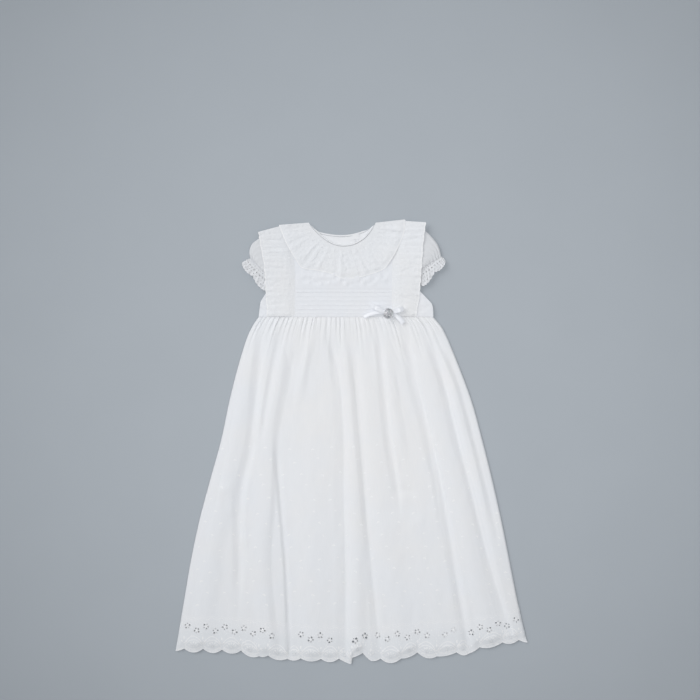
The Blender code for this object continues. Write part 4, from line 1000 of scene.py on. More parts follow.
def embroider(name, tree, places, sizes, seed):
    """Runs an embroidery tree over its places and keeps the result as a plain mesh."""
    carrier_mesh = bpy.data.meshes.new(name + "_places")
    carrier_mesh.from_pydata((places.points * MM).tolist(), [], [])
    for (label, kind), values in zip(PLACE_FIELDS, (places.along, places.up, places.size * MM)):
        attribute = carrier_mesh.attributes.new(label, kind, "POINT")
        field = "vector" if kind == "FLOAT_VECTOR" else "value"
        attribute.data.foreach_set(field, np.asarray(values, np.float32).ravel())
    piece = add_object(name, carrier_mesh)
    modifier = piece.modifiers.new(tree.name, "NODES")
    modifier.node_group = tree
    values = {**sizes, "Seed": seed, "Thread": THREAD}
    for item in tree.interface.items_tree:
        if item.item_type == "SOCKET" and item.in_out == "INPUT" and item.name in values:
            modifier[item.identifier] = values[item.name]
    graph = bpy.context.evaluated_depsgraph_get()
    finished = bpy.data.meshes.new_from_object(piece.evaluated_get(graph))
    finished.name = name
    piece.modifiers.clear()
    piece.data = finished
    bpy.data.meshes.remove(carrier_mesh)
    return piece


def stitched(name, stitch, places):
    """Sews one stitch at every place."""
    sizes = {"Length": stitch.length, "Width": stitch.width, "Height": stitch.height}
    return embroider(name, STITCHES, places, sizes, stitch.seed)


def places_on(surface, u, v, along_v=False, size=1.0, lift=0.0):
    """Places on a surface, read at two numbers each, with its direction and its normal there."""
    u = np.asarray(u, float)
    v = np.asarray(v, float)
    step = surface.step
    points = surface.at(u, v)
    across = surface.at(u + step[0], v) - surface.at(u - step[0], v)
    down = surface.at(u, v + step[1]) - surface.at(u, v - step[1])
    up = np.cross(across, down)
    up *= (np.sign(up[:, 2:3]) + (up[:, 2:3] == 0)) * surface.side
    up /= np.linalg.norm(up, axis=1)[:, None]
    along = down if along_v else across
    along = along / np.linalg.norm(along, axis=1)[:, None]
    sizes = np.broadcast_to(np.asarray(size, float), u.shape)
    return Places(points + up * lift, along, up, sizes)


def join_places(*groups):
    return Places(*[np.concatenate(field) for field in zip(*groups)])


def places_along(surface, line, pitch, turn_across=False, size=1.0, lift=0.0):
    """Places evenly along a line drawn on a laid surface, turned along it or across it."""
    line = np.asarray(line, float)
    reach = lengths_along(line)
    at = np.arange(pitch / 2, reach[-1], pitch)
    x = np.interp(at, reach, line[:, 0])
    y = np.interp(at, reach, line[:, 1])
    found = places_on(surface, x, y, size=size, lift=lift)
    ahead = xyz(*[np.interp(at + 0.3, reach, axis) - np.interp(at - 0.3, reach, axis)
                  for axis in line.T], np.zeros(len(at)))
    if turn_across:
        ahead = xyz(-ahead[:, 1], ahead[:, 0], ahead[:, 2])
    ahead -= (ahead * found.up).sum(axis=1)[:, None] * found.up
    ahead /= np.linalg.norm(ahead, axis=1)[:, None]
    return found._replace(along=ahead)


def turned_to(places, turns):
    """The same places, each turned to its own angle from X."""
    return places._replace(along=xyz(np.cos(turns), np.sin(turns), np.zeros(len(turns))))


Surface = namedtuple("Surface", "at step side")


def laid_surface(height, side=1.0):
    """The upper face of a laid cloth, or its underside with side -1, from its height."""
    return Surface(lambda x, y: xyz(x, y, height(x, y)), (0.4, 0.4), side)


# Skirt and hem

def side_x(part, y):
    """X at a part of the way from the left outline of the skirt to the right one."""
    knots, lefts, rights = zip(*SKIRT_SIDES)
    left, right = smooth_line(knots, lefts, y), smooth_line(knots, rights, y)
    return left + part * (right - left)


def part_of(x, y):
    left, right = side_x(0.0, y), side_x(1.0, y)
    return (x - left) / (right - left)


def hem_x(part):
    return HEM[0].x + part * (HEM[-1].x - HEM[0].x)


def notch_line(x):
    return smooth_line(HEM_LINE_X, HEM_LINE_Y, x)


def seam_y(part):
    """The line above the border, which follows the line of the notches."""
    return notch_line(hem_x(part)) + BORDER_DEPTH


def scallop_y(x):
    """The scalloped edge: arcs that sag between the notches."""
    knots = np.array([row.x for row in HEM])
    i = np.clip(np.searchsorted(knots, x, side="right") - 1, 0, len(HEM) - 2)
    t = (x - knots[i]) / (knots[i + 1] - knots[i])
    sag = np.array([row.sag for row in HEM])[i]
    return np.interp(x, knots, [row.y for row in HEM]) - sag * 4 * t * (1 - t)


def folds_at(folds, x, y):
    """How far a table of folds lifts or lowers the skirt at a point."""
    height = np.zeros_like(x)
    for fold in folds:
        middle = smooth_line(FOLD_STATIONS_Y, fold.path, y)
        away = x - middle
        reach = np.where(away < 0, fold.left, fold.right)
        across = np.clip(np.abs(away) / reach, 0.0, 1.0)
        shown = soft_step(fold.top - y, 0.0, FOLD_FADE) * soft_step(y - fold.foot, 0.0, FOLD_FADE)
        height += fold.height * (1 - across ** 2) ** 2 * shown
    return height


def pressed_at(lines, x, y):
    """Height of the straight creases in a table, each fading towards both its ends."""
    height = np.zeros_like(x)
    for line in lines:
        way = np.array([line.to_x - line.x, line.to_y - line.y])
        length = np.hypot(*way)
        way /= length
        along = (x - line.x) * way[0] + (y - line.y) * way[1]
        across = (x - line.x) * way[1] - (y - line.y) * way[0]
        shown = soft_step(along, -2.0, 0.3 * length) * soft_step(length - along, -2.0, 0.3 * length)
        height += line.depth * np.exp(-(across / line.wide) ** 2) * shown
    return height


def dents_at(x, y):
    height = np.zeros_like(x)
    for dent in DENTS:
        away = ((x - dent.x) / dent.wide) ** 2 + ((y - dent.y) / dent.high) ** 2
        height += dent.depth * np.exp(-away)
    return height


def gathers_at(part, y):
    """Ridges and hollows of the gathers by turns, each dying out at its own depth."""
    k = np.arange(2 * GATHERS + 1)
    uneven = 0.26 * np.sin(1.7 * k) + 0.22 * np.sin(0.61 * k + 1.0)
    uneven[[0, -1]] = 0.0
    places = (k + uneven) / (2 * GATHERS)
    length = 46 + 26 * np.sin(0.9 * k + 0.5) + 16 * np.sin(2.3 * k)
    phase = np.interp(part, places, k)
    reach = np.interp(part, places, length)
    fade = np.clip(1 - (WAIST_Y - y) / reach, 0.0, 1.0) ** 1.4
    pinch = 0.7 + 0.3 * soft_step(WAIST_Y - y, 0.0, 9.0)
    at_sides = np.clip(np.minimum(part, 1 - part) * 2 * GATHERS, 0.0, 1.0)
    strength = 0.75 + 0.45 * np.sin(0.83 * phase + 0.7) * np.sin(0.29 * phase)
    fine = 0.25 * np.cos(2.3 * np.pi * phase + 2 * np.sin(phase))
    fine *= soft_step(y, WAIST_Y - FINE_GATHERS, WAIST_Y)
    waves = strength * np.cos(np.pi * phase) * fade * pinch + fine
    return -GATHER_HEIGHT * waves * at_sides


def front_height(x, y):
    """Height of the skirt front's face at a point, with its folds, creases and gathers."""
    part = part_of(x, y)
    from_side = np.minimum(x - side_x(0.0, y), side_x(1.0, y) - x)
    round_off = 1 - (1 - np.clip(from_side / SKIRT_EDGE_ROUND, 0.0, 1.0)) ** 2
    grown = FOLD_AT_WAIST + (1 - FOLD_AT_WAIST) * soft_step(WAIST_Y - y, 0.0, FOLD_GROWTH)
    relief = FOLD_SHOWN * folds_at(FOLDS, x, y) * grown + CREASE_SHOWN * folds_at(CREASES, x, y)
    relief += dents_at(x, y) + pressed_at(SKIRT_CREASES, x, y)
    relief += ripples(x, y, SKIRT_CRUMPLE)
    relief += (0.04 + 0.03 * soft_step(-y, -100.0, 60.0)) * ripples(x * 0.4, y, SKIRT_FINE_CRUMPLE)
    at_seam = WAIST_DIP * soft_step(y, WAIST_Y - 8.0, WAIST_Y)
    top = SKIRT_EDGE_TOP + round_off * (SKIRT_CROWN + relief - at_seam) + gathers_at(part, y)
    lowest = SKIRT_EDGE_TOP - DEEPEST_FOLD * round_off
    lowest = np.where(y > WAIST_Y - WAIST_STRIP, SKIRT_EDGE_TOP + 0.6 * round_off, lowest)
    top = np.clip(top, lowest, HIGHEST_FOLD)
    return top - SIDE_DROP * (1 - np.clip(from_side / SIDE_ROLL, 0.0, 1.0)) ** 2


def back_height(x, y):
    """Height of the skirt back's inner face: nearly flat, pressed against the floor."""
    mirrored = folds_at(FOLDS, -x * 0.97 + 6.0, y) / 6.0
    fine = ripples(x, y, SKIRT_BACK_CRUMPLE)
    return np.clip(0.75 + mirrored * 0.5 + fine + 0.25 * gathers_at(part_of(x, y), y), 0.5, 1.15)


def front_hem_height(x, y):
    """The front border comes down towards the back layer along its scallops."""
    top = front_height(x, y)
    lain = back_height(x, y) + BATISTE_THICK + HEM_APART
    comes_down = HEM_SETTLES * (1 - soft_step(y - scallop_y(x), 0.0, HEM_REACH))
    return top - np.maximum(top - lain, 0.0) * comes_down


FRONT_HEM = laid_surface(front_hem_height)
FRONT_SKIRT = laid_surface(front_height)
BACK_SKIRT = laid_surface(lambda x, y: back_height(x, y) - BATISTE_THICK, -1.0)


def make_skirt(name, height, across, down):
    """A skirt cloth from the waist to the border's seam, on a grid of parts across and down."""
    part, way = np.meshgrid(across, down)
    waist = WAIST_Y - SEAM_GAP / 2
    y = waist + way * (seam_y(part) - waist)
    x = side_x(part, y)
    return laid_shell(name, x, y, height(x, y), BATISTE)


def border_outline(inset):
    """The border's cut edge: seam above, sides, and the scallops, with short points between."""
    across = even(BORDER_TOP_POINTS)
    top = seam_y(across) + BORDER_TUCKED_IN
    seam = xyz(side_x(across, top), top)
    x = np.linspace(HEM[-1].x - inset, HEM[0].x + inset, BORDER_FOOT_POINTS)
    notches = np.array([row.x for row in HEM])
    for notch in notches[1:-1]:
        x[np.argmin(np.abs(x - notch))] = notch
    foot = xyz(x, scallop_y(x) + inset)
    side_y = np.linspace(top[-1], foot[0, 1], BORDER_SIDE_POINTS)[1:-1]
    right = xyz(side_x(1.0, side_y) - inset, side_y)
    side_y = np.linspace(foot[-1, 1], top[0], BORDER_SIDE_POINTS)[1:-1]
    left = xyz(side_x(0.0, side_y) + inset, side_y)
    return np.concatenate([seam, right, foot, left])


Flower = namedtuple("Flower", "x y opening")


def flower_places(back=False):
    """The eyelet flowers: zigzag rows above the scallops, from fold to fold."""
    flowers = []
    for run in FLOWER_RUNS:
        for k, x in enumerate(np.linspace(run.start, run.end, run.count)):
            y = float(notch_line(x)) + FLOWER_ABOVE + FLOWER_ZIGZAG * run.first * (-1) ** k
            flowers.append(Flower(float(x) + run.apart * back, y, run.opening))
    return flowers


def scallop_spans():
    """The scallops that are wide enough to carry a pattern of their own."""
    return [(row.x, after.x) for row, after in zip(HEM, HEM[1:]) if after.x - row.x > 15.0]


def flower_holes(x, y, reach, radius, turn):
    """Five round holes; some are drawn wider open by the stitches than others."""
    angles = turn + 2 * np.pi * np.arange(5) / 5
    open_parts = [0.76 + 0.24 * math.sin(2.3 * k + 1.1 * x) for k in range(5)]
    return [Hole(x + reach * math.cos(a), y + reach * math.sin(a), radius * part)
            for a, part in zip(angles, open_parts)]


def border_holes(back=False):
    """Eyelets: five round each flower and five tiny ones in each scallop."""
    holes = []
    for number, flower in enumerate(flower_places(back)):
        holes += flower_holes(flower.x, flower.y, FLOWER_REACH, PETAL_HOLE * flower.opening,
                              math.pi / 2 + 0.4 * (number % 3))
    for start, end in scallop_spans():
        middle = (start + end) / 2
        edge = float(scallop_y(middle))
        holes += flower_holes(middle, edge + SCALLOP_FLOWER_ABOVE, SCALLOP_FLOWER_REACH,
                              SCALLOP_HOLE, math.pi / 2)
    return holes


def make_border(name, surface_height, inset, back):
    cut = cut_cloth(border_outline(inset), border_holes(back), BORDER_SPACING)
    sunk = lambda x, y: surface_height(x, y) - 0.06 * (y > seam_y(part_of(x, y)) - 0.4)
    border = lay_cut(name, cut, sunk, BORDER_CLOTH)
    x, y = cut.points[:, 0], cut.points[:, 1]
    # Painted shade: darker below the eyelet flowers, for the shade among the stitches and holes
    share = 1 - soft_step(y - notch_line(x), FLOWER_ABOVE - 8.0, FLOWER_ABOVE + 9.0)
    give_values(border, "painted_shade", "POINT", np.tile(share, 2))
    return border


def arc_over(start, end, rise, lift):
    """An arc from one notch to the next that rises above both."""
    x = np.linspace(start, end, 60)
    t = (x - start) / (end - start)
    y = scallop_y(start) * (1 - t) + scallop_y(end) * t + lift + rise * 4 * t * (1 - t)
    return xyz(x, y)


def scallop_lines(start, end):
    """Corded lines of one scallop: two below its flower and two arches above it."""
    x = np.linspace(start + 1.5, end - 1.5, 60)
    t = (x - start) / (end - start)
    lines = [xyz(x, scallop_y(x) + above + bow * 4 * t * (1 - t))
             for above, bow in ((3.4, 0.0), (5.4, -0.3))]
    return lines + [arc_over(start, end, rise, lift) for rise, lift in ((9.0, 4.0), (11.5, 6.5))]


def leaf_fans(surface):
    """Pairs and fans of satin leaves: over every notch, and round each scallop's small flower."""
    places, turns, sizes = [], [], []
    for row in HEM[1:-1]:
        for angle, reach, size in NOTCH_LEAVES:
            a = math.radians(angle)
            places.append((row.x + (reach - 8.0) * math.cos(a), row.y + reach * math.sin(a)))
            turns.append(a)
            sizes.append(size)
    for start, end in scallop_spans():
        middle = (start + end) / 2
        flower_y = float(scallop_y(middle)) + SCALLOP_FLOWER_ABOVE
        for angle in SCALLOP_LEAF_ANGLES:
            a = math.radians(angle)
            places.append((middle + 6.2 * math.cos(a), flower_y + 5.6 * math.sin(a)))
            turns.append(a)
            sizes.append(SCALLOP_LEAF_SIZE)
    at = np.array(places)
    found = places_on(surface, at[:, 0], at[:, 1], size=np.array(sizes), lift=BEDDED)
    return turned_to(found, turns)


def seed_places(surface, inset, seed):
    """Seed stitches scattered all over the border below its garland."""
    chance = np.random.default_rng(seed)
    x = chance.uniform(HEM[0].x + 4, HEM[-1].x - 4, SEED_STITCHES)
    way = chance.uniform(0.0, 1.0, SEED_STITCHES) ** 0.9
    foot, head = scallop_y(x) + inset + 2.5, notch_line(x) + GARLAND_ABOVE - 1.0
    y = foot + way * (head - foot)
    inside = (x > side_x(0.0, y) + 1.5) & (x < side_x(1.0, y) - 1.5)
    x, y = x[inside], y[inside]
    found = places_on(surface, x, y, size=chance.uniform(0.6, 1.3, len(x)), lift=BEDDED / 3)
    turn = chance.uniform(0.0, np.pi, len(x))
    return turned_to(found, turn)


def hem_embroidery(surface, label, inset, back):
    """Thread work of the border: rims, hearts, scallop edge, arches, leaves and seed stitches."""
    holes = border_holes(back)
    at = np.array([(h.x, h.y) for h in holes])
    radius = np.array([h.radius for h in holes])
    rims = places_on(surface, at[:, 0], at[:, 1], size=radius + 0.05, lift=RIMS_BEDDED)
    made = [embroider(f"{label}_eyelet_rims", RIMS, rims, {"Ring": 1.2, "Roll": 0.22}, 1)]
    hearts = [(flower.x, flower.y, 3.2) for flower in flower_places(back)]
    for start, end in scallop_spans():
        middle = (start + end) / 2
        hearts.append((middle, float(scallop_y(middle)) + SCALLOP_FLOWER_ABOVE, 1.7))
    hearts = np.array(hearts)
    dots = places_on(surface, hearts[:, 0], hearts[:, 1], size=hearts[:, 2])
    made.append(stitched(f"{label}_flower_hearts", HEART, dots))
    x = np.linspace(HEM[0].x + inset + 0.4, HEM[-1].x - inset - 0.4, 1400)
    edge = xyz(x, scallop_y(x) + inset + 1.15)
    satin = places_along(surface, edge, 0.85, turn_across=True, lift=BEDDED)
    made.append(stitched(f"{label}_scallop_edge", SCALLOP_SATIN, satin))
    lines = []
    for start, end in scallop_spans():
        lines += [places_along(surface, line, SCALLOP_CORD_PITCH, lift=BEDDED)
                  for line in scallop_lines(start, end)]
    for above, size in GARLAND_LINES:
        x = np.linspace(-238.0, 236.0, 1200)
        wave = notch_line(x) + GARLAND_ABOVE + above + 1.3 * np.sin(2 * np.pi * x / GARLAND_WAVE)
        on_cloth = (x > side_x(0.0, wave) + 2.0) & (x < side_x(1.0, wave) - 2.0)
        line = xyz(x, wave)[on_cloth]
        lines.append(places_along(surface, line, GARLAND_PITCH, size=size, lift=BEDDED))
    made.append(stitched(f"{label}_corded_lines", CORD, join_places(*lines)))
    made.append(stitched(f"{label}_leaves", LEAF, leaf_fans(surface)))
    made.append(stitched(f"{label}_seed_stitches", SEED, seed_places(surface, inset, 15)))
    return made


def sprig_places(surface, seed):
    """Sprigs in rough rows over the lower skirt, closer together towards the hem."""
    chance = np.random.default_rng(seed)
    places = []
    y = SPRIGS_TOP_Y
    row = 0
    while y > SPRIGS_FOOT_Y:
        closeness = (SPRIGS_TOP_Y - y) / (SPRIGS_TOP_Y - SPRIGS_FOOT_Y)
        gap = SPRIG_GAP + (SPRIG_GAP_AT_HEM - SPRIG_GAP) * closeness
        start = side_x(0.0, y) + 9.0 + (gap / 2 if row % 2 else 0.0)
        for x in np.arange(start, side_x(1.0, y) - 8.0, gap):
            places.append((x + chance.uniform(-5.0, 5.0), y + chance.uniform(-4.0, 4.0)))
        y -= gap * SPRIG_ROW_SHARE
        row += 1
    at = np.array(places)
    found = places_on(surface, at[:, 0], at[:, 1], lift=BEDDED)
    turn = chance.uniform(-0.7, 0.7, len(at)) + math.pi / 2
    return turned_to(found, turn)


# Bodice

def bend(row, parts):
    """Points of a sleeve ring's line: a curve by its top, middle and underarm points."""
    t = np.asarray(parts, float)
    x = (1 - t) ** 2 * row.top_x + 2 * t * (1 - t) * row.mid_x + t * t * row.low_x
    y = (1 - t) ** 2 * row.top_y + 2 * t * (1 - t) * row.mid_y + t * t * row.low_y
    return x, y


def armhole(row, away):
    x, y = bend(row, even(13))
    return list(zip(x + away, y))


LEFT_EDGE = [SHOULDER_LEFT] + armhole(SLEEVE_LEFT[0], 2 * SEAM_GAP) + LEFT_SIDE
RIGHT_EDGE = [SHOULDER_RIGHT] + armhole(SLEEVE_RIGHT[0], -2 * SEAM_GAP) + RIGHT_SIDE


def edge_x(points, y):
    ys = np.array([p[1] for p in points])[::-1]
    xs = np.array([p[0] for p in points])[::-1]
    return np.interp(y, ys, xs)


def yoke_height(x, y):
    """Yoke: smooth under the frills, a little puffed between the collar and the tucks."""
    open_part = soft_step(YOKE_OPEN_Y - y, 0.0, 9.0)
    open_part *= soft_step(x, TUCKS_FROM_X - 2, TUCKS_FROM_X + 12)
    open_part *= soft_step(-x, -TUCKS_TO_X - 2, -TUCKS_TO_X + 12)
    puff = 0.45 * open_part * soft_step(y, YOKE_FOOT_Y, YOKE_FOOT_Y + 8.0)
    creases = ripples(x, y, YOKE_CRUMPLE) * (0.2 + 0.8 * np.maximum(open_part, beside(x)))
    creases += 1.6 * pressed_at(YOKE_CREASES, x, y)
    creases *= soft_step(y, YOKE_FOOT_Y + 1.0, YOKE_FOOT_Y + 11.0)
    return FRONT_BODICE_Z + CLOTH - 0.25 + np.clip(puff + creases, -0.3, 0.9)


def make_yoke():
    neck = spread_points(FRONT_NECK, 41)
    left = [p for p in LEFT_EDGE if p[1] > YOKE_FOOT_Y]
    right = [p for p in RIGHT_EDGE if p[1] > YOKE_FOOT_Y]
    outline = [tuple(p) for p in neck[::-1]] + left
    outline.append((float(edge_x(LEFT_EDGE, YOKE_FOOT_Y)), YOKE_FOOT_Y - 0.2))
    outline.append((float(edge_x(RIGHT_EDGE, YOKE_FOOT_Y)), YOKE_FOOT_Y - 0.2))
    outline += right[::-1]
    return lay_cut("yoke_cloth", cut_cloth(outline, [], 1.9), yoke_height, BODICE_CLOTH)


def beside(x):
    """1 at the sides of the bodice, outside the flounces, and 0 between them."""
    return 1 - soft_step(x, -119.0, -112.0) * soft_step(-x, -92.0, -86.0)


def tuck_profile(away):
    """Cross section of a pintuck: it stands up sharply and leans a little towards the waist."""
    leant = away + 0.25
    return np.exp(-(np.abs(leant) / (PINTUCK_HALF * 0.62)) ** 2.4)


def panel_height(x, y):
    tucks = np.zeros_like(x)
    for tuck, shown in zip(PINTUCK_Y, TUCK_SHOWN):
        tucks += shown * tuck_profile(y - tuck - 0.12 * np.sin(x / 17.0 + tuck))
    ends = soft_step(x, TUCKS_FROM_X - TUCK_FADE, TUCKS_FROM_X)
    ends *= soft_step(-x, -TUCKS_TO_X - TUCK_FADE, -TUCKS_TO_X)
    pucker = 0.06 * np.sin(x / 1.9 + 3 * np.sin(x / 23.0)) * np.sin(y / 2.1)
    creases = (0.14 + 0.5 * beside(x)) * ripples(x, y, PANEL_CRUMPLE)
    creases = creases + pressed_at(YOKE_CREASES, x, y)
    creases *= soft_step(-y, -YOKE_FOOT_Y, 4.0 - YOKE_FOOT_Y)
    base = FRONT_BODICE_Z + CLOTH - 0.2 + np.clip(creases + pucker * ends, -0.25, 0.6)
    return base + tucks * ends


def make_tucked_panel():
    foot = WAIST_Y + SEAM_GAP / 2
    levels = list(np.linspace(foot, YOKE_FOOT_Y - SEAM_GAP, 20))
    for tuck in PINTUCK_Y:
        levels += list(tuck + np.array([-1.5, -1.1, -0.7, -0.35, 0.0, 0.35, 0.7, 1.1]))
    levels = np.unique(np.round(levels, 2))[::-1]
    part = even(131)
    left = edge_x(LEFT_EDGE, levels)[:, None]
    right = edge_x(RIGHT_EDGE, levels)[:, None]
    x = left + part[None, :] * (right - left)
    y = np.repeat(levels[:, None], x.shape[1], axis=1)
    return laid_shell("tucked_panel_cloth", x, y, panel_height(x, y), BODICE_CLOTH)


def back_cloth_height(seed, floor):
    """A piece of the back: pressed almost flat, with faint creases."""
    crumple = Crumple(seed, 9.0, 30.0, 1.0, 1.0)
    return lambda x, y: (floor + BACK_LIES
                         + BACK_CRUMPLE_DEPTH * np.clip(ripples(x, y, crumple), -1.2, 1.2))


def make_back_bodice():
    foot = WAIST_Y - 4.0
    neck = spread_points(BACK_NECK, 29)
    middle = BACK_OPENING_X
    neck_y = float(np.interp(middle, neck[:, 0], neck[:, 1]))
    left_neck = [tuple(p) for p in neck if p[0] < middle - 1]
    right_neck = [tuple(p) for p in neck if p[0] > middle + 1]
    left = [p for p in LEFT_EDGE if p[1] > WAIST_Y + 1]
    right = [p for p in RIGHT_EDGE if p[1] > WAIST_Y + 1]
    left_foot = (LEFT_EDGE[-1][0] + 1, foot)
    right_foot = (RIGHT_EDGE[-1][0] - 1, foot)
    outline = [(middle, neck_y)] + left_neck[::-1] + left + [left_foot, (middle, foot)]
    made = [lay_cut("bodice_back_left_cloth", cut_cloth(outline, [], 4.0),
                    back_cloth_height(41, BACK_BODICE_Z), BATISTE)]
    outline = [(middle + SEAM_GAP, foot), right_foot] + right[::-1] + right_neck[::-1]
    outline.append((middle + SEAM_GAP, neck_y))
    made.append(lay_cut("bodice_back_right_cloth", cut_cloth(outline, [], 4.0),
                        back_cloth_height(43, BACK_BODICE_Z), BATISTE))
    return made


def make_placket():
    """The strip with the buttonholes, and its turned-in end that shows inside the neck."""
    right = BACK_OPENING_X + PLACKET_OVER
    left = right - PLACKET_WIDTH
    head, foot = BACK_NECK[3][1] - 1.0, WAIST_Y + 1.0
    middle = (left + right) / 2
    holes = [Hole(middle, y, BACK_BUTTON_RADIUS + 2 * SEAM_GAP) for y in BACK_BUTTON_Y]
    strip = [(left, head), (left, foot), (right, foot), (right, head)]
    cut = cut_cloth(strip, holes, 2.2, sides=24)
    placket = lay_cut("back_placket_cloth", cut, lambda x, y: PLACKET_Z + 0.0 * x, BATISTE)
    tab = lay_cut("placket_end", cut_cloth(PLACKET_END, [], 1.6),
                  lambda x, y: BACK_BODICE_Z + PLACKET_END_ABOVE + 0.0 * x, BATISTE)
    return placket, tab


def make_back_button(number, y):
    """A small four-hole button, dished on its outer side."""
    x = BACK_OPENING_X + PLACKET_OVER - PLACKET_WIDTH / 2
    turn = 2 * np.pi * np.arange(28) / 28
    outline = xyz(x + BACK_BUTTON_RADIUS * np.cos(turn), y + BACK_BUTTON_RADIUS * np.sin(turn))
    corners = (-BACK_BUTTON_HOLE_AT, BACK_BUTTON_HOLE_AT)
    holes = [Hole(x + a, y + b, BACK_BUTTON_HOLE) for a in corners for b in corners]
    cut = cut_cloth(outline, holes, 0.8, sides=8)
    away = np.hypot(cut.points[:, 0] - x, cut.points[:, 1] - y) / BACK_BUTTON_RADIUS
    outer = np.column_stack([cut.points, BACK_BUTTON_TOP - 0.25 * away ** 6])
    dish = BACK_BUTTON_DISH * (1 - soft_step(away, 0.55, 0.85))
    inner = np.column_stack([cut.points, dish + 0.2 * away ** 9])
    return shell_from_cut(f"small_button_{number}", cut, outer, inner, PEARL)


# Neck, collar frill and flounces

def make_binding(name, path, bottom, height):
    """A narrow folded band along a neckline, with a rounded top."""
    along = np.gradient(path, axis=0)
    along /= np.linalg.norm(along, axis=1)[:, None]
    across = np.stack([-along[:, 1], along[:, 0]], axis=1)
    turn = np.linspace(0.0, np.pi, 9)
    out = np.concatenate([(1 - np.cos(turn)) / 2, [1.0, 0.5, 0.0]])
    up = np.concatenate([0.55 + 0.4 * np.sin(turn), [0.1, 0.02, 0.1]])
    rings = []
    for number, (point, side) in enumerate(zip(path, across)):
        uneven = 1 + 0.05 * math.sin(1.3 * number)
        from_end = min(number, len(path) - 1 - number)
        reach = SEAM_GAP + out * BINDING_WIDTH * (0.1 + 0.9 * soft_step(from_end, 0, BINDING_TAPER))
        rings.append(np.stack([point[0] + side[0] * reach, point[1] + side[1] * reach,
                               bottom + up * height * uneven], axis=1))
    rings = np.array(rings)
    count, size = rings.shape[:2]
    faces = grid_faces(count, size, around=True)
    faces += [tuple(range(size)), tuple(range((count - 1) * size, count * size))]
    uv = xyz(np.repeat(lengths_along(path), size), np.tile(np.arange(size) * 0.5, count))
    return make_piece(name, rings.reshape(-1, 3), faces, BATISTE, uv, crease=70.0)


def collar_at(along, out):
    """A point of the collar frill: along the neck from left to right, and out from the neck."""
    along, out = np.broadcast_arrays(np.asarray(along, float), np.asarray(out, float))
    inner = along_line(FRONT_NECK, along)
    outer = along_line(COLLAR_EDGE, along)
    flat = inner + out[..., None] * (outer - inner)
    turn = along * COLLAR_PLEATS * 2 * np.pi
    depth = 0.42 + 0.22 * np.sin(1.7 * turn / 3 + 1.0) + 0.14 * np.sin(0.31 * turn)
    pleats = 1 + np.sin(turn + 0.9 * np.sin(0.43 * turn) + 0.5 * out)
    wave = COLLAR_WAVE * depth * out ** 0.8 * pleats
    fine = 0.1 * (1 - 0.4 * out) * np.sin(2.6 * turn + 2 * np.sin(0.7 * turn))
    fine *= soft_step(out, 0.0, 0.2)
    crinkle = ripples(flat[..., 0], flat[..., 1], COLLAR_CRUMPLE) * soft_step(out, 0.02, 0.2)
    creases = pressed_at(COLLAR_CREASES, flat[..., 0], flat[..., 1])
    over_flounce = 1 - soft_step(along, 0.17, 0.27) + soft_step(along, 0.7, 0.8)
    floor = FRILL_Z + COLLAR_LIFT * over_flounce * soft_step(out, 0.4, 0.9)
    lies_down = soft_step(out, 0.84, 1.0)
    relief = (wave + fine + crinkle + creases) * (1 - 0.75 * lies_down)
    z = floor + COLLAR_BASE + np.maximum(relief, -0.15) - COLLAR_CURL * lies_down
    return np.concatenate([flat, z[..., None]], axis=-1)


def flounce_at(rows, along, out):
    """A point of a flounce: along it from the shoulder to the waist, and out from its seam."""
    along, out = np.broadcast_arrays(np.asarray(along, float), np.asarray(out, float))
    line = along_line([tuple(row) for row in rows], along)
    inner, outer, lift = line[..., 0:2], line[..., 2:4], line[..., 4]
    flat = inner + out[..., None] * (outer - inner)
    turn = along * FLOUNCE_PLEATS
    within = turn - np.floor(turn)
    crisp = np.interp(within, [0.0, 0.22, 0.7, 1.0], [0.0, 1.0, 0.6, 0.0])
    soft = (1 - np.cos(2 * np.pi * within)) / 2
    sharpness = 1 - soft_step(along, 0.25, 0.6)
    pleat = soft + (crisp - soft) * sharpness
    strength = 0.5 - 0.28 * soft_step(along, 0.25, 0.6) + 0.14 * np.sin(4.1 * np.floor(turn))
    caught = 0.9 * (1 - soft_step(out, 0.0, 0.3)) + 0.35 * soft_step(along, 0.97, 1.0)
    caught += 0.85 * soft_step(out, 0.7, 1.0) * soft_step(along, 0.4, 0.7)
    floor = FRILL_Z + lift * out + 0.6 * soft_step(out, 0.0, 0.3) - caught
    crinkle = ripples(flat[..., 0] * 0.5, flat[..., 1], FLOUNCE_CRUMPLE)
    crinkle += ripples(flat[..., 0] * 0.7, flat[..., 1], FLOUNCE_FINE_CRUMPLE)
    crinkle += 0.9 * pressed_at(FLOUNCE_CREASES, flat[..., 0], flat[..., 1])
    heading = 0.3 * np.exp(-((out - HEADING_AT) / 0.09) ** 2)
    crinkle *= soft_step(out, 0.0, 0.12)
    z = floor + CLOTH - 0.75 + 2 * FLOUNCE_WAVE * pleat * strength * out ** 0.7 + crinkle + heading
    ruffle = 0.35 * np.sin(1.3 * np.pi * turn + 2.6 * np.sin(0.7 * turn)) * out ** 6
    across = outer - inner
    flat = flat + ruffle[..., None] * across / np.linalg.norm(across, axis=-1)[..., None]
    return np.concatenate([flat, z[..., None]], axis=-1)


def frill_shell(name, surface, columns, rows):
    """A frill's cloth, thinner at its edges, which are single and pressed."""
    along, out = np.meshgrid(even(columns), even(rows))
    outer = surface.at(along, out)
    inner = outer.copy()
    inner[..., 2] -= BATISTE_THICK * (0.25 + 0.75 * soft_step(np.minimum(out, 1 - out), 0.0, 0.12))
    return shell_from_grid(name, outer, inner, CRINKLED)


COLLAR = Surface(collar_at, (0.002, 0.01), 1.0)
LEFT_FLOUNCE = Surface(lambda a, o: flounce_at(FLOUNCE_LEFT, a, o), (0.002, 0.01), 1.0)
RIGHT_FLOUNCE = Surface(lambda a, o: flounce_at(FLOUNCE_RIGHT, a, o), (0.002, 0.01), 1.0)


# Sleeves and their lace

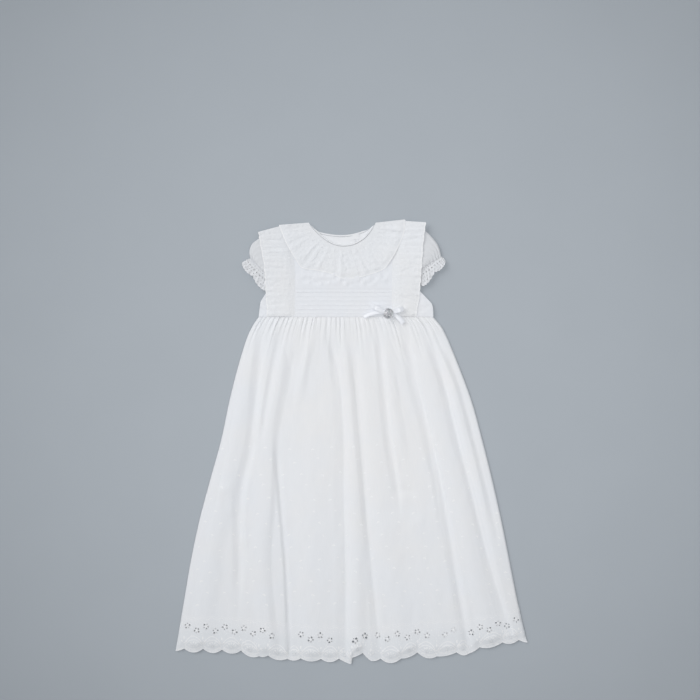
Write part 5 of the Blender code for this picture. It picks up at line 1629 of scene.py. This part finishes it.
def sleeve_at(rows, along, turn, puffs, wave, shrink=0.0):
    """A point of a flattened sleeve: along it, and round it over its top and back beneath."""
    along, turn = np.broadcast_arrays(np.asarray(along, float), np.asarray(turn, float))
    knots = np.linspace(0.0, 1.0, len(rows))
    row = SleeveRow(*[smooth_line(knots, [getattr(r, field) for r in rows], along)
                      for field in SleeveRow._fields])
    chord = np.hypot(row.top_x - row.low_x, row.top_y - row.low_y)
    keep = shrink / chord
    part = keep + (1 - np.cos(turn)) / 2 * (1 - 2 * keep)
    rise = np.sign(np.sin(turn)) * np.abs(np.sin(turn)) ** 0.7
    x, y = bend(row, part)
    upper = np.clip(rise, 0.0, 1.0)
    gather = wave * upper * (1 - np.cos(2 * np.pi * puffs * part + 1.7 * np.sin(7 * part))) / 2
    z = row.z + row.high / 2 + rise * (row.high / 2 - shrink) + gather
    return xyz(x, y, z)


def make_sleeve(name, rows, material):
    along, turn = np.meshgrid(even(34), np.linspace(0, 2 * np.pi, 96, endpoint=False),
                              indexing="ij")
    grow = 0.35 + 0.65 * np.abs(2 * along - 0.9)
    outer = sleeve_at(rows, along, turn, SLEEVE_PUFFS, SLEEVE_PUFF * grow)
    inner = sleeve_at(rows, along, turn, SLEEVE_PUFFS, SLEEVE_PUFF * grow, shrink=BATISTE_THICK)
    return shell_from_grid(name, outer, inner, material, around=True)


def lace_holes():
    """Rows of holes round the lace: small, large, then small again near the picots."""
    holes = []
    for row, (out, radius, count) in enumerate(LACE_HOLE_ROWS):
        pitch = LACE_ROUND / count
        places = [(k + 0.25 + 0.5 * (row % 2)) * pitch for k in range(count)]
        holes += [Hole(x, out, radius) for x in places if out + radius + 0.8 < float(lace_edge(x))]
    return [h for h in holes if 2.0 < h.x < LACE_ROUND - 2.0]


def lace_edge(x):
    """The lace's free edge: broad lobes with a row of picots."""
    x = np.asarray(x, float)
    lobe = LOBE_DEPTH * (1 - np.abs(np.sin(np.pi * x * LACE_LOBES / LACE_ROUND)) ** 0.7)
    picot = PICOT_DEPTH * (1 - np.abs(np.sin(np.pi * x * PICOTS / LACE_ROUND)))
    return LACE_LENGTH - lobe - picot


def lace_outline():
    x = np.linspace(0.0, LACE_ROUND, PICOTS * 8 + 1)
    mouth = xyz(np.linspace(LACE_ROUND, 0.0, 60), np.zeros(60))
    return np.concatenate([mouth, xyz(x, lace_edge(x))])


def cuff_at(rows, u, v, shrink=0.0):
    turn = u / LACE_ROUND * 2 * np.pi
    along = v / LACE_LENGTH
    return sleeve_at(rows, along, turn, CUFF_WAVES, CUFF_WAVE * along, shrink)


def make_cuff(name, rows, material):
    cut = cut_cloth(lace_outline(), lace_holes(), 1.7, sides=8)
    u, v = cut.points[:, 0], cut.points[:, 1]
    return shell_from_cut(name, cut, cuff_at(rows, u, v), cuff_at(rows, u, v, 0.4), material)


# Bow and jewel button

def make_ribbon(name, path, notch_start=False, notch_end=False):
    """A satin ribbon swept along its middle line, lightly cupped, with creases by the knot."""
    line = along_line([tuple(p) for p in path], even(14 * len(path)))
    ahead = np.gradient(line[:, :3], axis=0)
    ahead /= np.linalg.norm(ahead, axis=1)[:, None]
    level = line[-1, :2] - line[0, :2]
    if np.linalg.norm(level) < 3.0:
        level = line[len(line) // 2, :2] - line[0, :2]
    level /= np.linalg.norm(level)
    flat = np.where(np.linalg.norm(ahead[:, :2], axis=1)[:, None] < 0.5, level, ahead[:, :2])
    flat /= np.linalg.norm(flat, axis=1)[:, None]
    flat *= np.sign(flat @ level)[:, None]
    side = np.stack([-flat[:, 1], flat[:, 0], np.zeros(len(flat))], axis=1)
    face = np.cross(ahead, side)
    across = np.linspace(-1.0, 1.0, 13)
    knot = np.exp(-np.hypot(line[:, 0] - BOW_X, line[:, 1] - BOW_Y) / 7.0)[:, None]
    cup = RIBBON_CUP * (1 - across[None, :] ** 2) * (1 - knot)
    crease = RIBBON_CREASE * knot * np.cos(3 * np.pi * across)[None, :]
    middle = line[:, :3] + np.array([0.0, 0.0, 0.5])
    flatten = np.sign(face[:, 2:3] + 1e-6)
    half_way = across[None, :, None] * line[:, 3][:, None, None] / 2
    points = middle[:, None, :] + half_way * side[:, None, :]
    points = points + (cup + crease)[:, :, None] * (face * flatten)[:, None, :]
    for wanted, end, step in ((notch_start, 0, 1), (notch_end, -1, -1)):
        if wanted:
            slant = RIBBON_SLANT * (across + 1) / 2
            points[end] += slant[:, None] * ahead[end] * step
    outer = points + face[:, None, :] * RIBBON_THICK / 2
    inner = points - face[:, None, :] * RIBBON_THICK / 2
    return shell_from_grid(name, outer, inner, SATIN)


def make_jewel():
    """The button's rose-cut stone: rings of facets up to a low point, each a painted grey
    reflection.
    """
    points, rings = [], []
    for ring in JEWEL_RINGS:
        rings.append(range(len(points), len(points) + ring.count))
        for k in range(ring.count):
            turn = 2 * math.pi * (k + ring.turn) / ring.count
            points.append((BOW_X + ring.radius * math.cos(turn),
                           BOW_Y + ring.radius * math.sin(turn), BUTTON_Z + ring.height))
    top_point = len(points)
    points.append((BOW_X, BOW_Y, BUTTON_Z + JEWEL_TOP))
    faces = [(rings[3][k], rings[3][(k + 1) % 8], top_point) for k in range(8)]
    faces.append(tuple(reversed(rings[0])))
    for k in range(16):
        faces.append((rings[0][k], rings[0][(k + 1) % 16], rings[1][(k + 1) % 16], rings[1][k]))
    for k in range(8):
        a, b, c = rings[1][2 * k], rings[1][2 * k + 1], rings[1][(2 * k + 2) % 16]
        top, after = rings[2][k], rings[2][(k + 1) % 8]
        faces += [(a, b, top), (b, c, top), (c, after, top)]
        inner, inner_after = rings[3][k], rings[3][(k + 1) % 8]
        faces += [(top, inner_after, inner), (top, after, inner_after)]
    stone = make_piece("button_stone", points, faces, JEWEL, crease=0.0)
    chance = np.random.default_rng(7)
    # Painted reflections: a random grey and tint for each facet, darker round the top point
    painted_reflection_greys = chance.uniform(0.0, 1.0, len(stone.data.polygons))
    painted_reflection_greys[:8] *= MIDDLE_SHADE
    give_values(stone, "facet", "FACE", painted_reflection_greys)
    give_values(stone, "tint", "FACE", chance.uniform(0.0, 1.0, len(painted_reflection_greys)))
    return stone


def make_jewel_setting():
    """The milled metal rim and back that hold the stone."""
    points = []
    for radius, height in SETTING:
        for k in range(SETTING_SIDES):
            turn = 2 * math.pi * k / SETTING_SIDES
            milled = radius * (1 + (MILLING if k % 2 and MILLED_FROM < radius else 0.0))
            points.append((BOW_X + milled * math.cos(turn), BOW_Y + milled * math.sin(turn),
                           BUTTON_Z + height))
    last = (len(SETTING) - 1) * SETTING_SIDES
    faces = grid_faces(len(SETTING), SETTING_SIDES, around=True)
    faces += [tuple(range(SETTING_SIDES)), tuple(range(last, last + SETTING_SIDES))]
    return make_piece("button_rim", points, faces, SILVER, crease=40.0)


# Putting the gown together

def belongs(piece, slot, *nodes):
    """Every piece rides on the gown's one body; it may stand for solids of its own."""
    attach(piece, "root")
    if nodes:
        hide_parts(*nodes)
    return piece


def sheet_of(piece):
    """Measures a cloth piece's cut on its own shell, half of both its faces, and keeps nothing."""
    shape = bmesh.new()
    shape.from_mesh(piece.data)
    area = sum(face.calc_area() for face in shape.faces) / 2
    shape.free()
    size = np.array([v.co for v in piece.data.vertices]).reshape(-1, 3)
    width, length = (size.max(axis=0) - size.min(axis=0))[:2]
    if area > width * length:
        length = area / width


def dress_skirt():
    front = belongs(make_skirt("skirt_front_cloth", front_height, even(SKIRT_COLUMNS + 1),
                               even(SKIRT_ROWS + 1) ** ROWS_TO_WAIST), "batiste", "skirt_front")
    across = np.linspace(BACK_SIDE_INSET, 1 - BACK_SIDE_INSET, BACK_COLUMNS + 1)
    back = belongs(make_skirt("skirt_back_cloth", back_height, across, even(BACK_ROWS + 1)),
                   "batiste", "skirt_back")
    hem_front = belongs(make_border("hem_border_front_cloth", front_hem_height, 0.0, False),
                        "eyelet", "hem_border_front")
    hem_back = belongs(make_border("hem_border_back_cloth", back_height, BACK_HEM_INSET, True),
                       "eyelet", "hem_border_back")
    front_work = [belongs(p, "eyelet") for p in hem_embroidery(FRONT_HEM, "hem_front", 0.0, False)]
    back_work = [belongs(p, "eyelet")
                 for p in hem_embroidery(BACK_SKIRT, "hem_back", BACK_HEM_INSET, True)]
    sprigs = belongs(embroider("skirt_front_sprigs", SPRIGS, sprig_places(FRONT_SKIRT, 3),
                               SPRIG_SIZES, 5), "eyelet")
    back_sprigs = belongs(embroider("skirt_back_sprigs", SPRIGS, sprig_places(BACK_SKIRT, 4),
                                    SPRIG_SIZES, 6), "eyelet")
    sheet_of(front)
    sheet_of(back)
    sheet_of(hem_front)
    sheet_of(hem_back)


def dress_bodice():
    yoke = belongs(make_yoke(), "batiste", "yoke_front")
    panel = belongs(make_tucked_panel(), "batiste", "tucked_panel")
    backs = make_back_bodice()
    belongs(backs[0], "batiste", "bodice_back_left")
    belongs(backs[1], "batiste", "bodice_back_right")
    placket, tab = make_placket()
    belongs(placket, "batiste", "back_placket")
    belongs(tab, "batiste")
    for number, y in enumerate(BACK_BUTTON_Y, 1):
        belongs(make_back_button(number, y), "small_buttons", f"back_button_{number}")
    sheet_of(yoke)
    sheet_of(panel)
    sheet_of(backs[0])
    sheet_of(backs[1])
    sheet_of(placket)


def dress_frills():
    path = spread_points(FRONT_NECK, 80)[3:-3]
    belongs(make_binding("neck_binding_front_cloth", path, FRONT_BODICE_Z, BINDING_HEIGHT),
            "batiste", "neck_binding_front")
    path = spread_points(BACK_NECK, 70)[6:-5]
    belongs(make_binding("neck_binding_back_cloth", path, BACK_BODICE_Z, BACK_BINDING_HEIGHT),
            "batiste", "neck_binding_back")
    collar = belongs(frill_shell("collar_cloth", COLLAR, *COLLAR_GRID), "lace", "collar_front")
    sheet_of(collar)
    for side, surface in (("left", LEFT_FLOUNCE), ("right", RIGHT_FLOUNCE)):
        flounce = belongs(frill_shell(f"flounce_{side}_cloth", surface, *FLOUNCE_GRID), "lace",
                          f"flounce_{side}")
        at = np.linspace(0.004, 0.996, FLOUNCE_EDGE_STITCHES)
        edge = places_on(surface, at, np.full_like(at, EDGE_OUT), along_v=True, lift=BEDDED)
        dots = np.linspace(0.01, 0.99, FLOUNCE_DOTS)
        line = places_on(surface, dots, np.full_like(dots, DOTS_OUT), lift=0.1)
        edging = belongs(stitched(f"flounce_{side}_edge", FLOUNCE_SATIN, edge), "lace")
        dotted = belongs(stitched(f"flounce_{side}_dots", FLOUNCE_DOT, line), "lace")
        sheet_of(flounce)
    at = np.linspace(0.003, 0.997, COLLAR_EDGE_STITCHES)
    edge = places_on(COLLAR, at, np.full_like(at, EDGE_OUT), along_v=True, lift=BEDDED)
    belongs(stitched("collar_edge", COLLAR_SATIN, edge), "lace")


def dress_frill_backs():
    """The frills' back halves, pressed flat under the back bodice."""
    neck = spread_points(BACK_NECK, 29)
    left_neck = [tuple(p) for p in neck if p[0] < -9.0]
    right_neck = [tuple(p) for p in neck if p[0] > 11.0]
    panels = {"collar_back_left": COLLAR_BACK_LEFT + left_neck[::-1],
              "collar_back_right": COLLAR_BACK_RIGHT + right_neck,
              "flounce_back_left": FLOUNCE_BACK_LEFT, "flounce_back_right": FLOUNCE_BACK_RIGHT}
    for number, (node, outline) in enumerate(panels.items()):
        cut = cut_cloth(outline, [], 3.0)
        piece = belongs(lay_cut(f"{node}_cloth", cut, back_cloth_height(51 + number, 0.0), BATISTE),
                        "lace", node)
        sheet_of(piece)


def dress_sleeves():
    for side, sleeve_rows, cuff_rows in (("left", SLEEVE_LEFT, CUFF_LEFT),
                                         ("right", SLEEVE_RIGHT, CUFF_RIGHT)):
        sleeve = belongs(make_sleeve(f"sleeve_{side}_cloth", sleeve_rows, SHEER), "batiste",
                         f"sleeve_{side}")
        cuff = belongs(make_cuff(f"cuff_{side}_lace", cuff_rows, LACE), "lace",
                       f"cuff_frill_{side}")
        lace = Surface(lambda u, v, rows=cuff_rows: cuff_at(rows, u, v), (0.2, 0.2), 1.0)
        x = np.linspace(0.5, LACE_ROUND - 0.5, PICOTS * 6)
        edge = places_on(lace, x, lace_edge(x) - 0.25, lift=0.0)
        holes = lace_holes()
        at = np.array([(h.x, h.y, h.radius) for h in holes])
        rims = places_on(lace, at[:, 0], at[:, 1], size=at[:, 2] + 0.08, lift=0.02)
        picots = belongs(stitched(f"cuff_{side}_picots", PICOT, edge), "lace")
        eyes = belongs(embroider(f"cuff_{side}_eyes", RIMS, rims, {"Ring": 1.0, "Roll": 0.25}, 13),
                       "lace")
        sheet_of(sleeve)
        sheet_of(cuff)


def dress_bow():
    belongs(make_ribbon("bow_tails_ribbon", BOW_TAILS, True, True), "satin", "bow_tails")
    belongs(make_ribbon("bow_loop_left_ribbon", BOW_LOOP_LEFT), "satin", "bow_loop_left")
    belongs(make_ribbon("bow_loop_right_ribbon", BOW_LOOP_RIGHT), "satin", "bow_loop_right")
    belongs(make_jewel_setting(), "bow_button", "bow_button")
    belongs(make_jewel(), "bow_button")


# Floor, light and camera

def add_floor():
    corners = [(a * FLOOR_HALF, b * FLOOR_HALF, FLOOR_Z)
               for a, b in ((-1, -1), (1, -1), (1, 1), (-1, 1))]
    make_piece("floor", corners, [(0, 1, 2, 3)], FLOOR, crease=0.0)


def add_lights():
    """A broad key, a weak fill, and a soft pool of light that falls off towards the corners."""
    for row in LIGHTS:
        light = bpy.data.lights.new(row.name, row.kind)
        light.energy = row.power
        lamp = add_object(row.name, light)
        if row.kind == "SUN":
            light.angle = math.radians(row.wide)
            lamp.rotation_euler = Vector((row.x, row.y, row.z)).to_track_quat("Z", "Y").to_euler()
        else:
            light.spot_size = math.radians(row.wide)
            light.spot_blend = 1.0
            light.shadow_soft_size = POOL_SOFTNESS
            lamp.location = (row.x, row.y, row.z)
    world = bpy.data.worlds.new("soft room")
    world.use_nodes = True
    world.node_tree.nodes["Background"].inputs["Color"].default_value = from_hex(ROOM_COLOUR)
    world.node_tree.nodes["Background"].inputs["Strength"].default_value = ROOM_LIGHT
    bpy.context.scene.world = world


def add_camera():
    lens = bpy.data.cameras.new("camera")
    lens.lens = CAMERA_LENS
    lens.sensor_width = CAMERA_FILM
    camera = add_object("camera", lens)
    camera.location = CAMERA_AT
    bpy.context.scene.camera = camera
    bpy.context.scene.view_settings.view_transform = "Standard"


add_camera()
add_floor()
add_lights()
dress_skirt()
dress_bodice()
dress_frills()
dress_frill_backs()
dress_sleeves()
dress_bow()
